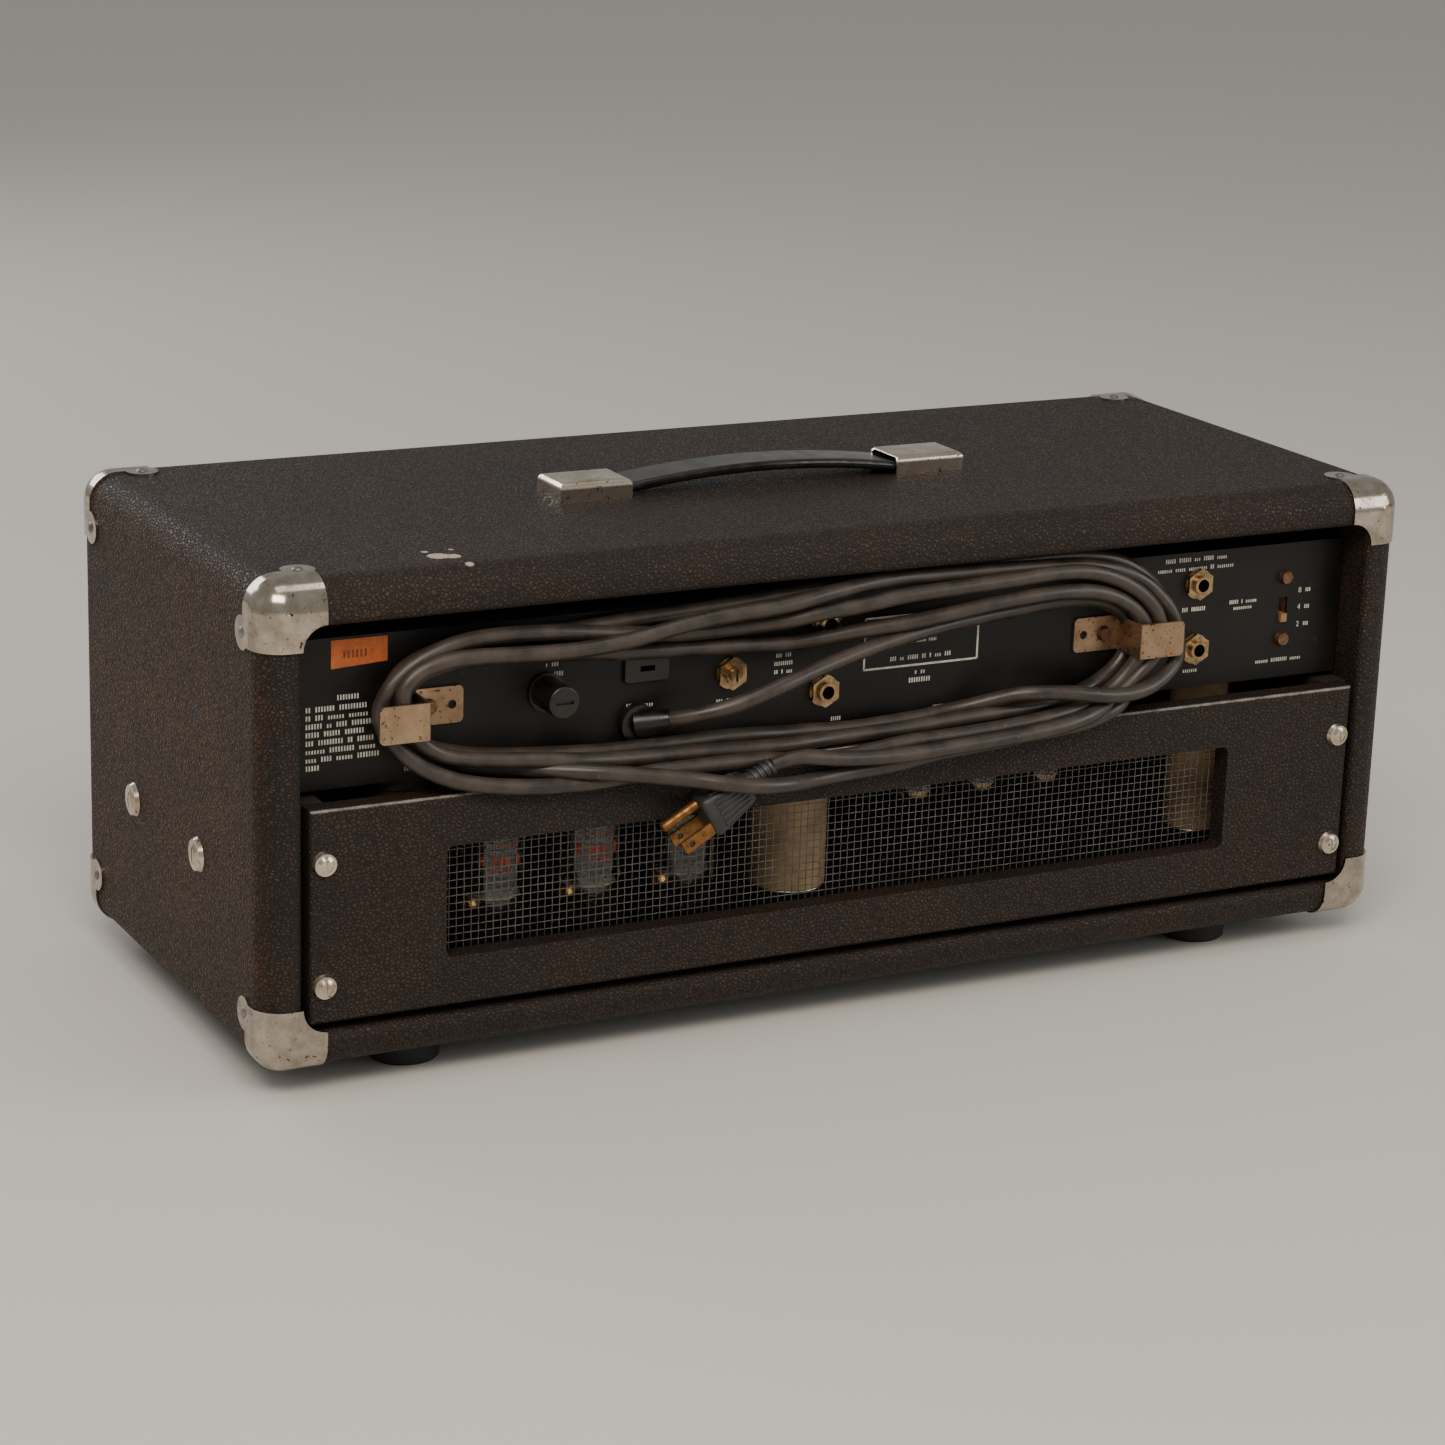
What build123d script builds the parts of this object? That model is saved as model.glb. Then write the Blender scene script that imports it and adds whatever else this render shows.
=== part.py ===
from build123d import *
import math
import os

# Guitar amplifier head: a vinyl-covered cabinet that holds a steel chassis with its valves hanging
# under it. Millimetres. The rear faces +Y, the front -Y, +Z is up, and the feet stand on Z = 0.

# Cabinet
WIDTH = 616.0
DEPTH = 253.5
HEIGHT = 229.5
FOOT_HEIGHT = 14.0
COVER = 0.8
SIDE_BOARD = 17.8
TOP_BOARD = 19.3
BOTTOM_BOARD = 17.0
OUTER_ROUND = 13.5
INNER_ROUND = 4.0
COVER_RETURN = 32.0

# Feet: places are measured in from the cabinet's sides and from its front and rear
FOOT_INSET_X = 85.0
FOOT_INSET_Y = 40.0
FOOT_RADIUS = 18.0
FOOT_RECESS_RADIUS = 9.0
FOOT_RECESS_DEPTH = 8.0
FOOT_SCREW_RADIUS = 2.5
FOOT_SCREW_GRIP = 12.0

# Corner protectors: pressed sheet with a leg along each edge and an ear on two faces
CORNER_SHEET = 1.2
CORNER_LEG = 31.0
CORNER_SIDE = 20.0
CORNER_NOTCH = 11.7
CORNER_EAR = 8.0
CORNER_EAR_IN = 21.5
CORNER_EAR_DOWN = 25.3
NAIL_RADIUS = 1.6

# Handle: a spring steel strap in a vinyl grip, held at each end under a pressed cap
HANDLE_X = 5.0
HANDLE_Y = 11.0
HANDLE_BOLT_SPACING = 186.0
CAP_LENGTH = 38.5
CAP_WIDTH = 27.0
CAP_HEIGHT = 9.6
CAP_SHEET = 1.2
CAP_ROUND = 3.4
GRIP_WIDTH = 24.0
GRIP_THICK = 5.0
GRIP_RISE = 6.5
GRIP_LOW = 0.6
GRIP_IN_CAP = 6.5
STRAP_WIDTH = 18.0
STRAP_THICK = 1.5
STRAP_END = 15.0
STRAP_SLOT = 20.0
STRAP_PLAY = 1.5
HANDLE_BOLT_RADIUS = 3.0
HANDLE_SHOULDER_RADIUS = 4.0
HANDLE_HEAD_RADIUS = 6.5
HANDLE_HEAD_THICK = 1.8

# Chassis: an open steel pan under the top board
SHEET = 1.5
CHASSIS_GAP = 1.6
CHASSIS_RECESS = 20.0
CHASSIS_HEIGHT = 70.5
CHASSIS_HEADROOM = 10.6
CHASSIS_LIP = 10.0
BRACKET_DROP = 64.0
BRACKET_FRONT = -72.0
BRACKET_REAR = 66.0
BRACKET_UP = 60.0
SIDE_BOLTS_Y = (-48.7, 42.1)
SIDE_BOLT_DROP = 46.1
SIDE_BOLT_RADIUS = 3.0
SIDE_BOLT_HEAD = 5.6
SIDE_BOLT_CUP = 8.5
SIDE_NUT = 11.0
SIDE_NUT_THICK = 5.0

# Rear panel with its wire screen
PANEL_FACE_RECESS = 0.6
PANEL_BOARD = 11.0
PANEL_GAP = 3.6
PANEL_LIFT = 4.0
PANEL_TOP_GAP = 3.1
WINDOW_LEFT_RAIL = 66.7
WINDOW_RIGHT_RAIL = 74.5
WINDOW_LOW_RAIL = 23.7
WINDOW_TOP_RAIL = 24.4
WINDOW_ROUND = 3.5
SCREEN_THICK = 1.6
SCREEN_LAP = 10.0
CLEAT_WIDTH = 14.0
CLEAT_DEPTH = 17.5
PANEL_SCREW_IN = 7.0
PANEL_SCREW_LOW = 17.9
PANEL_SCREW_HIGH = 25.4
PANEL_SCREW_RADIUS = 2.1
PANEL_SCREW_HEAD = 4.2
PANEL_SCREW_CUP = 6.25
PANEL_SCREW_GRIP = 12.0
CUP_HEIGHT = 1.9
HEAD_DOME = 1.3
HOLE_PLAY = 0.1

# Bushings shared by jacks and potentiometers
BUSHING_RADIUS = 4.7
BUSHING_HOLE = 4.8
BUSHING_OUT = 5.5
NUT_ACROSS = 14.0
NUT_THICK = 2.4
WASHER_RADIUS = 7.8
WASHER_THICK = 0.8
NUT_PLAY = 0.05
JACK_BORE = 3.25
JACK_DEPTH = 17.0
JACK_BORE_DEPTH = 18.0
JACK_SIDE = 16.0
SHAFT_RADIUS = 3.15
SHAFT_PLAY = 0.05
POT_RADIUS = 12.0
POT_DEPTH = 10.0

# Rear fittings: (distance from the middle, height above the chassis floor), or from one end
JACK_UPPER = 54.1
JACK_LOWER = 20.4
EXT_JACK_X = 15.0
SPEAKER_JACK_IN = 88.5
FUSE_AT = (162.0, 35.1)
FUSE_HOLDER_RADIUS = 7.4
FUSE_FLANGE_RADIUS = 9.2
FUSE_FLANGE = 2.6
FUSE_BORE = 4.6
FUSE_RADIUS = 3.15
FUSE_LENGTH = 31.7
FUSE_CAP_RADIUS = 7.75
FUSE_CAP_OUT = 22.0
FUSE_SEAT = 4.0
CAP_SLOT = (9.0, 2.4, 1.6)
MOVING_GAP = 0.4
OUTLET_AT = (110.4, 47.7)
OUTLET_FACE = (23.5, 26.5)
OUTLET_BODY = (19.6, 22.0)
OUTLET_PLATE = 2.4
OUTLET_SLOT = (7.6, 2.6)
OUTLET_SLOT_SPACING = 12.7
HUM_POT_AT = (65.5, 34.2)
HUM_POT_RADIUS = 8.5
HUM_POT_DEPTH = 8.0
RELIEF_AT = (114.7, 15.1)
RELIEF_RADIUS = 7.6
RELIEF_HEAD = 9.5
RELIEF_HEAD_THICK = 5.0
SWITCH_IN = 35.0
SWITCH_UP = 36.7
SWITCH_SLOT = (5.2, 13.0)
SWITCH_SLOT_UP = -1.0
SWITCH_TALL = 44.0
SWITCH_WIDE = 14.0
SWITCH_DEEP = 10.0
SWITCH_SCREWS = 32.4
SLIDER_SIZE = (3.6, 4.2)
SLIDER_TRAVEL = 8.2
SLIDER_OUT = 1.6
HOOK_LEFT_IN = 58.5
HOOK_RIGHT_IN = 136.5
HOOK_UP = 34.0
HOOK_TALL = 17.5
HOOK_SHEET = 1.5
HOOK_BASE = 25.0
HOOK_STEP = 24.0
HOOK_REACH = 25.0
HOOK_SCREW = 17.0
HOOK_HOLE = 5.5
SCREW_RADIUS = 2.0
SCREW_HEAD = 3.9
SCREW_HEAD_THICK = 2.8

# Front fittings
CONTROL_UP = 33.0
CONTROL_PLATE = 1.5
CONTROL_MARGIN = 1.5
INPUT_JACKS_IN = (30.0, 60.0)
KNOB_PLACES = {"volume": -160.0, "bass": -95.0, "midrange": -30.0, "treble": 70.0}
KNOB_RADIUS = 9.5
KNOB_SKIRT = 15.0
KNOB_SKIRT_THICK = 3.0
KNOB_SKIRT_TAPER = 1.5
KNOB_OUT = 16.5
KNOB_BACK = 3.6
KNOB_HOLLOW = 8.6
ROCKER_PLACES = {"midrange_selector": 20.0, "standby": 160.0, "power": 205.0}
ROCKER_RADIUS = 12.5
ROCKER_WIDE = 12.0
ROCKER_VALLEY = 9.0
ROCKER_FACE = 14.0
ROCKER_TILT = 12.0
ROCKER_PIVOT_IN = 6.75
ROCKER_PIN_RADIUS = 1.5
ROCKER_PIN = 1.0
HOUSING_WALL = 1.4
BEZEL = (19.6, 32.0, 1.6)
LAMP_IN = 40.0
LAMP_RADIUS = 6.0
BAFFLE_BOARD = 12.0
BAFFLE_RAIL = 18.0
BAFFLE_GAP = 1.5
CLOTH = 1.2

# Valves, transformers and the rest inside
VALVE_Y_IN = 20.0
POWER_VALVES = 4
POWER_VALVE_IN = 58.1
POWER_VALVE_PITCH = 50.0
POWER_BULB_RADIUS = 16.5
POWER_BASE_RADIUS = 17.2
POWER_BASE = 19.0
POWER_LENGTH = 83.0
PREAMP_PLACES = (-49.8, -87.0, -124.4)
PREAMP_RADIUS = 10.8
PREAMP_LENGTH = 50.0
SOCKET_FLANGE = 3.0
SOCKET_BODY = 9.0
POWER_SOCKET_RADIUS = 14.0
PREAMP_SOCKET_RADIUS = 9.6
SOCKET_RIM = 3.4
CAN_PLACES = ((10.0, 67.0, 19.5, 89.0), (-232.0, 67.0, 15.0, 88.0))
POWER_CORE = (100.0, 88.0, 84.0)
POWER_CORE_AT = (-168.0, -28.0)
OUTPUT_CORE = (82.0, 74.0, 68.0)
OUTPUT_CORE_AT = (-52.0, -34.0)
BELL_SHARE = 0.27
BELL_STEP = 6.0
BELL_ROUND = 8.0
CIRCUIT_BOARD = (300.0, 110.0, 1.6)
CIRCUIT_BOARD_AT = (40.0, -10.0)
BOARD_STAND = 12.0
STAND_RADIUS = 3.0

# Power cord
CORD = 7.6
LEAD_ROUTE = [(102.7, 119.4, 160.1), (87.7, 131.8, 164.5), (60.0, 134.5, 172.5), (30.0, 128.0, 179.5),
              (-5.0, 121.5, 186.0), (-48.0, 116.5, 191.5), (-88.0, 112.0, 193.5)]
BEND_SHARE = 0.45
HANK_DEPTH = (107.6, 128.8)
HANK_OUTER = [(-140.0, 139.6), (-163.0, 142.5), (-176.5, 151.0), (-182.0, 166.0), (-179.5, 184.0),
              (-170.0, 201.0), (-154.0, 214.0), (-128.0, 220.8), (-60.0, 221.4), (0.0, 219.0),
              (45.0, 213.5), (95.0, 210.5), (140.0, 211.5), (180.0, 212.5), (217.0, 209.5),
              (237.0, 202.5), (249.0, 192.0), (253.5, 177.0), (250.5, 164.0), (240.0, 152.0),
              (222.0, 143.0), (200.0, 139.6)]
HANK_INNER = [(230.8, 166.0), (230.8, 186.0), (224.0, 193.5), (205.0, 197.0), (150.0, 195.0),
              (110.0, 189.0), (60.0, 185.0), (15.0, 187.5), (-30.0, 191.0), (-75.0, 196.0),
              (-125.0, 196.5), (-144.0, 192.0), (-152.8, 186.0), (-152.8, 167.0), (-146.0, 159.0),
              (-125.0, 155.0), (-99.0, 158.5), (-75.0, 157.0), (-55.0, 151.5), (0.0, 148.5),
              (60.0, 151.5), (110.0, 153.5), (150.0, 150.5), (195.0, 152.5), (212.0, 155.5),
              (225.0, 160.0)]
HANK_SAG = [(-168.0, 149.0), (-150.0, 143.5), (-128.0, 137.5), (-102.0, 132.0), (-71.0, 129.0),
            (-24.0, 126.0), (11.0, 122.5), (44.0, 121.5), (70.0, 124.0), (95.0, 129.0), (120.0, 134.0),
            (150.0, 133.8), (190.0, 136.5), (220.0, 142.0), (220.0, 150.0), (190.0, 149.5),
            (148.0, 149.5), (105.0, 147.5), (61.0, 146.5), (-20.0, 146.5), (-50.0, 149.5),
            (-72.0, 156.0), (-92.0, 160.0), (-120.0, 158.0), (-150.0, 156.5), (-168.0, 160.0)]
HANK_SAG_DEPTH = (126.8, 141.8)
HANK_BULGE = ((44.0, 100.0), (136.0, 150.5), (124.0, 138.5))
HANK_CLEAR = 0.4
PLUG_NECK_END = (57.8, 137.0, 137.2)
PLUG_AIM = (0.868, 0.0, -0.495)
PLUG_NECK = 14.5
PLUG_NECK_RADII = (4.6, 5.6)
PLUG_BODY = 27.0
PLUG_FACE = (18.0, 22.0)
PLUG_BACK = (12.0, 14.0)
PLUG_ROUND = 5.0
BLADE = (1.5, 6.3, 17.0)
BLADE_SPACING = 12.7
BLADE_DROP = 4.5
BLADE_HOLE = 1.6
BLADE_HOLE_IN = 4.5
GROUND_RADIUS = 2.4
GROUND_UP = 7.4
GROUND_LENGTH = 20.0

# Places that follow from the sizes above
HALF = WIDTH / 2
REAR = DEPTH / 2
FRONT = -REAR
BASE = FOOT_HEIGHT
TOP = BASE + HEIGHT
IN_X = HALF - SIDE_BOARD - 2 * COVER
IN_TOP = TOP - TOP_BOARD - 2 * COVER
IN_BASE = BASE + BOTTOM_BOARD + 2 * COVER
CHASSIS_X = IN_X - CHASSIS_GAP
CHASSIS_TOP = IN_TOP - CHASSIS_HEADROOM
FLOOR = CHASSIS_TOP - CHASSIS_HEIGHT
WALL = REAR - CHASSIS_RECESS
PANEL_FACE = REAR - PANEL_FACE_RECESS
PANEL_INSIDE = PANEL_FACE - PANEL_BOARD
PANEL_X = IN_X - PANEL_GAP
PANEL_BASE = IN_BASE + PANEL_LIFT
PANEL_TOP = FLOOR - PANEL_TOP_GAP
WINDOW_X = (WINDOW_RIGHT_RAIL - PANEL_X, PANEL_X - WINDOW_LEFT_RAIL)
WINDOW_Z = (PANEL_BASE + WINDOW_LOW_RAIL, PANEL_TOP - WINDOW_TOP_RAIL)
SIDE_BOLT_Z = FLOOR - SIDE_BOLT_DROP
SPEAKER_JACK_X = SPEAKER_JACK_IN - CHASSIS_X
SWITCH_X = SWITCH_IN - CHASSIS_X
HOOKS = {"left": (CHASSIS_X - HOOK_LEFT_IN, 1), "right": (HOOK_RIGHT_IN - CHASSIS_X, -1)}
CONTROL_FACE = -WALL - CONTROL_PLATE
VALVE_Y = WALL - VALVE_Y_IN
SCREW_PLACES = [(side * (PANEL_X - PANEL_SCREW_IN), z) for side in (-1, 1)
                for z in (PANEL_BASE + PANEL_SCREW_LOW, PANEL_TOP - PANEL_SCREW_HIGH)]
FOOT_PLACES = [(sx * (HALF - FOOT_INSET_X), sy * (REAR - FOOT_INSET_Y)) for sx in (-1, 1) for sy in (-1, 1)]
HANDLE_BOLTS = [HANDLE_X + side * HANDLE_BOLT_SPACING / 2 for side in (-1, 1)]
REAR_JACKS = [(x, FLOOR + up) for x in (EXT_JACK_X, SPEAKER_JACK_X) for up in (JACK_UPPER, JACK_LOWER)]
FRONT_JACKS = [(inset - CHASSIS_X, FLOOR + CONTROL_UP) for inset in INPUT_JACKS_IN]
POWER_VALVE_PLACES = [CHASSIS_X - POWER_VALVE_IN - i * POWER_VALVE_PITCH for i in range(POWER_VALVES)]

ON_BASE = (Align.CENTER, Align.CENTER, Align.MIN)
NODES = {}


def keep(name, *solids):
    """Store the solids of one node under its name."""
    NODES[name] = [solid for shape in solids for solid in shape.solids()]


def block(x, y, z):
    """A box between a pair of limits on each axis."""
    size = [abs(high - low) for low, high in (x, y, z)]
    middle = [(low + high) / 2 for low, high in (x, y, z)]
    return Pos(*middle) * Box(*size)


def rod(radius, start, end):
    """A cylinder from one point to another."""
    along = Vector(*end) - Vector(*start)
    return Plane(origin=start, z_dir=along) * Cylinder(radius, along.length, align=ON_BASE)


def rod_y(radius, x, z, y0, y1):
    return rod(radius, (x, y0, z), (x, y1, z))


def turned(points, at, aim):
    """A solid of revolution of a closed (radius, height) outline, standing at a point along aim."""
    outline = Polyline([(radius, 0, height) for radius, height in points], close=True)
    return Plane(origin=at, z_dir=aim) * revolve(make_face(outline), Axis.Z)


def cup_washer(at, aim, cup, head, shank):
    return turned([(shank, 0), (cup, 0), (cup - 1, CUP_HEIGHT), (head, CUP_HEIGHT)], at, aim)


def oval_screw(at, aim, head, shank, length):
    """An oval-head screw whose countersunk head sits in a cup washer, with a slot across it."""
    screw = turned([(0, -length), (shank, -length), (shank, 0), (head, CUP_HEIGHT),
                    (head * 0.6, CUP_HEIGHT + HEAD_DOME * 0.75), (0, CUP_HEIGHT + HEAD_DOME)], at, aim)
    slot = Plane(origin=at, z_dir=aim) * Pos(0, 0, CUP_HEIGHT + HEAD_DOME) * Box(2.2 * head, 1.0, 1.6)
    return screw - slot


def pan_screw(at, aim, length):
    return turned([(0, -length), (SCREW_RADIUS, -length), (SCREW_RADIUS, 0), (SCREW_HEAD, 0),
                   (SCREW_HEAD * 0.8, SCREW_HEAD_THICK), (0, SCREW_HEAD_THICK)], at, aim)


def hex_nut(at, aim, across, bore, thick):
    face = RegularPolygon(across / 2, 6, major_radius=False) - Circle(bore)
    return Plane(origin=at, z_dir=aim) * extrude(face, thick)


# ---------------------------------------------------------------- cabinet

def rounded_block(grow, radius):
    """The cabinet's outside, grown on all faces, with all its edges rounded."""
    body = block((-HALF - grow, HALF + grow), (FRONT - grow, REAR + grow), (BASE - grow, TOP + grow))
    return fillet(body.edges(), radius)


def shell(inset):
    """The cabinet as one hollow tube, open at front and rear, with its surfaces set in."""
    x, low, high = IN_X + inset, IN_BASE - inset, IN_TOP + inset
    end = REAR - inset
    tube = rounded_block(-inset, OUTER_ROUND - inset) - block((-x, x), (-DEPTH, DEPTH), (low, high))
    rims = [edge for edge in tube.edges()
            if abs(abs(edge.center().Y) - end) < 0.01 and abs(edge.center().X) < x + 0.01
            and low - 0.01 < edge.center().Z < high + 0.01]
    return fillet(rims, INNER_ROUND - inset)


def cabinet_holes(play):
    """Cutters for the side bolts, foot screws and handle bolts."""
    for side in (-1, 1):
        for y in SIDE_BOLTS_Y:
            yield rod(SIDE_BOLT_RADIUS + play, (side * (IN_X - 5), y, SIDE_BOLT_Z),
                      (side * (HALF + 5), y, SIDE_BOLT_Z))
    for x, y in FOOT_PLACES:
        yield rod(FOOT_SCREW_RADIUS + play, (x, y, BASE - 2), (x, y, BASE + FOOT_SCREW_GRIP + 0.5))
    for x in HANDLE_BOLTS:
        yield rod(HANDLE_BOLT_RADIUS + play, (x, HANDLE_Y, IN_TOP - 5), (x, HANDLE_Y, TOP + 5))


def make_cabinet():
    core = shell(COVER)
    skin = shell(0) - core
    far = DEPTH
    skin -= block((-IN_X - COVER, IN_X + COVER), (FRONT + COVER_RETURN, REAR - COVER_RETURN),
                  (IN_BASE - COVER, IN_TOP + COVER))
    for hole in cabinet_holes(HOLE_PLAY):
        core -= hole
        skin -= hole
    side = IN_X + COVER
    middle = (IN_BASE + IN_TOP) / 2
    keep("side_boards", core & block((-WIDTH, -side), (-far, far), (0, TOP)),
         core & block((side, WIDTH), (-far, far), (0, TOP)))
    keep("top_board", core & block((-side, side), (-far, far), (middle, TOP)))
    keep("bottom_board", core & block((-side, side), (-far, far), (0, middle)))
    keep("vinyl_covering", skin)


def make_feet():
    feet, screws = [], []
    for x, y in FOOT_PLACES:
        foot = turned([(FOOT_SCREW_RADIUS + HOLE_PLAY, FOOT_RECESS_DEPTH),
                       (FOOT_RECESS_RADIUS, FOOT_RECESS_DEPTH),
                       (FOOT_RECESS_RADIUS, 0), (FOOT_RADIUS - 2.0, 0), (FOOT_RADIUS - 1.0, 1.0),
                       (FOOT_RADIUS, BASE), (FOOT_SCREW_RADIUS + HOLE_PLAY, BASE)], (x, y, 0), (0, 0, 1))
        feet.append(foot)
        head = rod(2 * FOOT_SCREW_RADIUS, (x, y, FOOT_RECESS_DEPTH - 3.0), (x, y, FOOT_RECESS_DEPTH))
        shank = rod(FOOT_SCREW_RADIUS, (x, y, FOOT_RECESS_DEPTH), (x, y, BASE + FOOT_SCREW_GRIP))
        screws.append(head + shank)
    keep("rubber_feet", *feet)
    keep("foot_screws", *screws)


def make_corner_protectors():
    """Eight pressed corners: two legs on the end face, an ear on the side and one above or below."""
    skin = rounded_block(CORNER_SHEET, OUTER_ROUND + CORNER_SHEET) - rounded_block(0, OUTER_ROUND)
    corners = []
    for sx in (-1, 1):
        for sy in (-1, 1):
            for edge, sz in ((TOP, 1), (BASE, -1)):
                def at(u, v, w):
                    return (sx * (HALF - u), sy * (REAR - v), edge - sz * w)

                def span(u, v, w):
                    low, high = at(u[0], v[0], w[0]), at(u[1], v[1], w[1])
                    return block(*[sorted(pair) for pair in zip(low, high)])

                region = span((-2, CORNER_LEG), (-2, CORNER_SIDE), (-2, CORNER_LEG))
                region += rod(CORNER_EAR, at(-2, CORNER_EAR_IN, CORNER_EAR_DOWN),
                              at(4, CORNER_EAR_IN, CORNER_EAR_DOWN))
                region += rod(CORNER_EAR, at(CORNER_EAR_DOWN, CORNER_EAR_IN, -2),
                              at(CORNER_EAR_DOWN, CORNER_EAR_IN, 4))
                region -= rod(CORNER_NOTCH, at(CORNER_LEG, -3, CORNER_LEG), at(CORNER_LEG, 4, CORNER_LEG))
                region -= rod(NAIL_RADIUS, at(-3, CORNER_EAR_IN, CORNER_EAR_DOWN),
                              at(5, CORNER_EAR_IN, CORNER_EAR_DOWN))
                region -= rod(NAIL_RADIUS, at(CORNER_EAR_DOWN, CORNER_EAR_IN, -3),
                              at(CORNER_EAR_DOWN, CORNER_EAR_IN, 5))
                corners.append(skin & region)
    keep("corner_protectors", *corners)


# ---------------------------------------------------------------- handle

def arched(half, low, thick, rise, flat):
    """A band that arches over the middle between flat ends, as a face in the XZ plane."""
    lower = [(-half, low), (0, low + rise), (half, low)]
    upper = [(x, z + thick) for x, z in lower]
    points = {}
    for name, row in (("lower", lower), ("upper", upper)):
        points[name] = [Vector(HANDLE_X + x, 0, TOP + z) for x, z in row]
    low_left, low_mid, low_right = points["lower"]
    up_left, up_mid, up_right = points["upper"]
    step = Vector(flat, 0, 0)
    edges = [ThreePointArc(low_left, low_mid, low_right), ThreePointArc(up_left, up_mid, up_right)]
    if flat:
        edges += [Line(low_right, low_right + step), Line(low_right + step, up_right + step),
                  Line(up_right + step, up_right), Line(up_left, up_left - step),
                  Line(up_left - step, low_left - step), Line(low_left - step, low_left)]
    else:
        edges += [Line(low_right, up_right), Line(up_left, low_left)]
    return make_face(edges)


def across(face, width):
    """A face in the XZ plane made into a band centred on the handle's line."""
    return Pos(0, HANDLE_Y, 0) * extrude(face, width / 2, dir=(0, 1, 0), both=True)


def make_handle():
    bolt_half = HANDLE_BOLT_SPACING / 2
    cap_mouth = bolt_half - CAP_LENGTH / 2
    grip_half = cap_mouth + GRIP_IN_CAP
    strap_low = GRIP_LOW + (GRIP_THICK - STRAP_THICK) / 2
    strap = across(arched(grip_half, strap_low, STRAP_THICK, GRIP_RISE, bolt_half + STRAP_END - grip_half),
                   STRAP_WIDTH)
    grip = across(arched(grip_half, GRIP_LOW, GRIP_THICK, GRIP_RISE, 0), GRIP_WIDTH)
    long_edges = [edge for edge in grip.edges() if edge.length > 2 * grip_half - 1]
    grip = fillet(long_edges, GRIP_THICK * 0.4) - strap
    caps, bolts = [], []
    slot_half = HANDLE_SHOULDER_RADIUS + MOVING_GAP
    for side, x in zip((-1, 1), HANDLE_BOLTS):
        slot = block((x - STRAP_SLOT / 2, x + STRAP_SLOT / 2), (HANDLE_Y - slot_half, HANDLE_Y + slot_half),
                     (TOP, TOP + CAP_HEIGHT))
        strap -= slot
        half, wide = CAP_LENGTH / 2, CAP_WIDTH / 2
        cap = block((x - half, x + half), (HANDLE_Y - wide, HANDLE_Y + wide), (TOP, TOP + CAP_HEIGHT))
        cap = fillet([edge for edge in cap.edges() if edge.center().Z > TOP + CAP_HEIGHT - 0.1], CAP_ROUND)
        inner = [x - half + CAP_SHEET, x + half - CAP_SHEET]
        inner[0 if side > 0 else 1] -= side * 5
        hollow = block(inner, (HANDLE_Y - wide + CAP_SHEET, HANDLE_Y + wide - CAP_SHEET),
                       (TOP - 1, TOP + CAP_HEIGHT - CAP_SHEET))
        upper = hollow.edges().filter_by(Axis.X).sort_by(Axis.Z)[-2:]
        caps.append(cap - fillet(upper, CAP_ROUND - CAP_SHEET))
        shoulder_top = strap_low + STRAP_THICK + STRAP_PLAY + MOVING_GAP
        head_top = TOP + shoulder_top + HANDLE_HEAD_THICK
        bolt = rod(HANDLE_HEAD_RADIUS, (x, HANDLE_Y, TOP + shoulder_top), (x, HANDLE_Y, head_top))
        bolt += rod(HANDLE_SHOULDER_RADIUS, (x, HANDLE_Y, TOP), (x, HANDLE_Y, TOP + shoulder_top))
        bolt += rod(HANDLE_HEAD_RADIUS, (x, HANDLE_Y, TOP), (x, HANDLE_Y, TOP + strap_low))
        bolt += rod(HANDLE_BOLT_RADIUS, (x, HANDLE_Y, IN_TOP - 7.0), (x, HANDLE_Y, TOP))
        washer = turned([(HANDLE_BOLT_RADIUS, 0), (9.0, 0), (9.0, 1.4), (HANDLE_BOLT_RADIUS, 1.4)],
                        (x, HANDLE_Y, IN_TOP + COVER - 1.4), (0, 0, 1))
        nut = hex_nut((x, HANDLE_Y, IN_TOP + COVER - 6.4), (0, 0, 1), 10.0, HANDLE_BOLT_RADIUS, 5.0)
        bolts += [bolt, washer, nut]
    keep("handle_strap", strap)
    keep("handle_grip", grip)
    keep("handle_end_caps", *caps)
    keep("handle_bolts", *bolts)


# ---------------------------------------------------------------- rear panel

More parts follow.
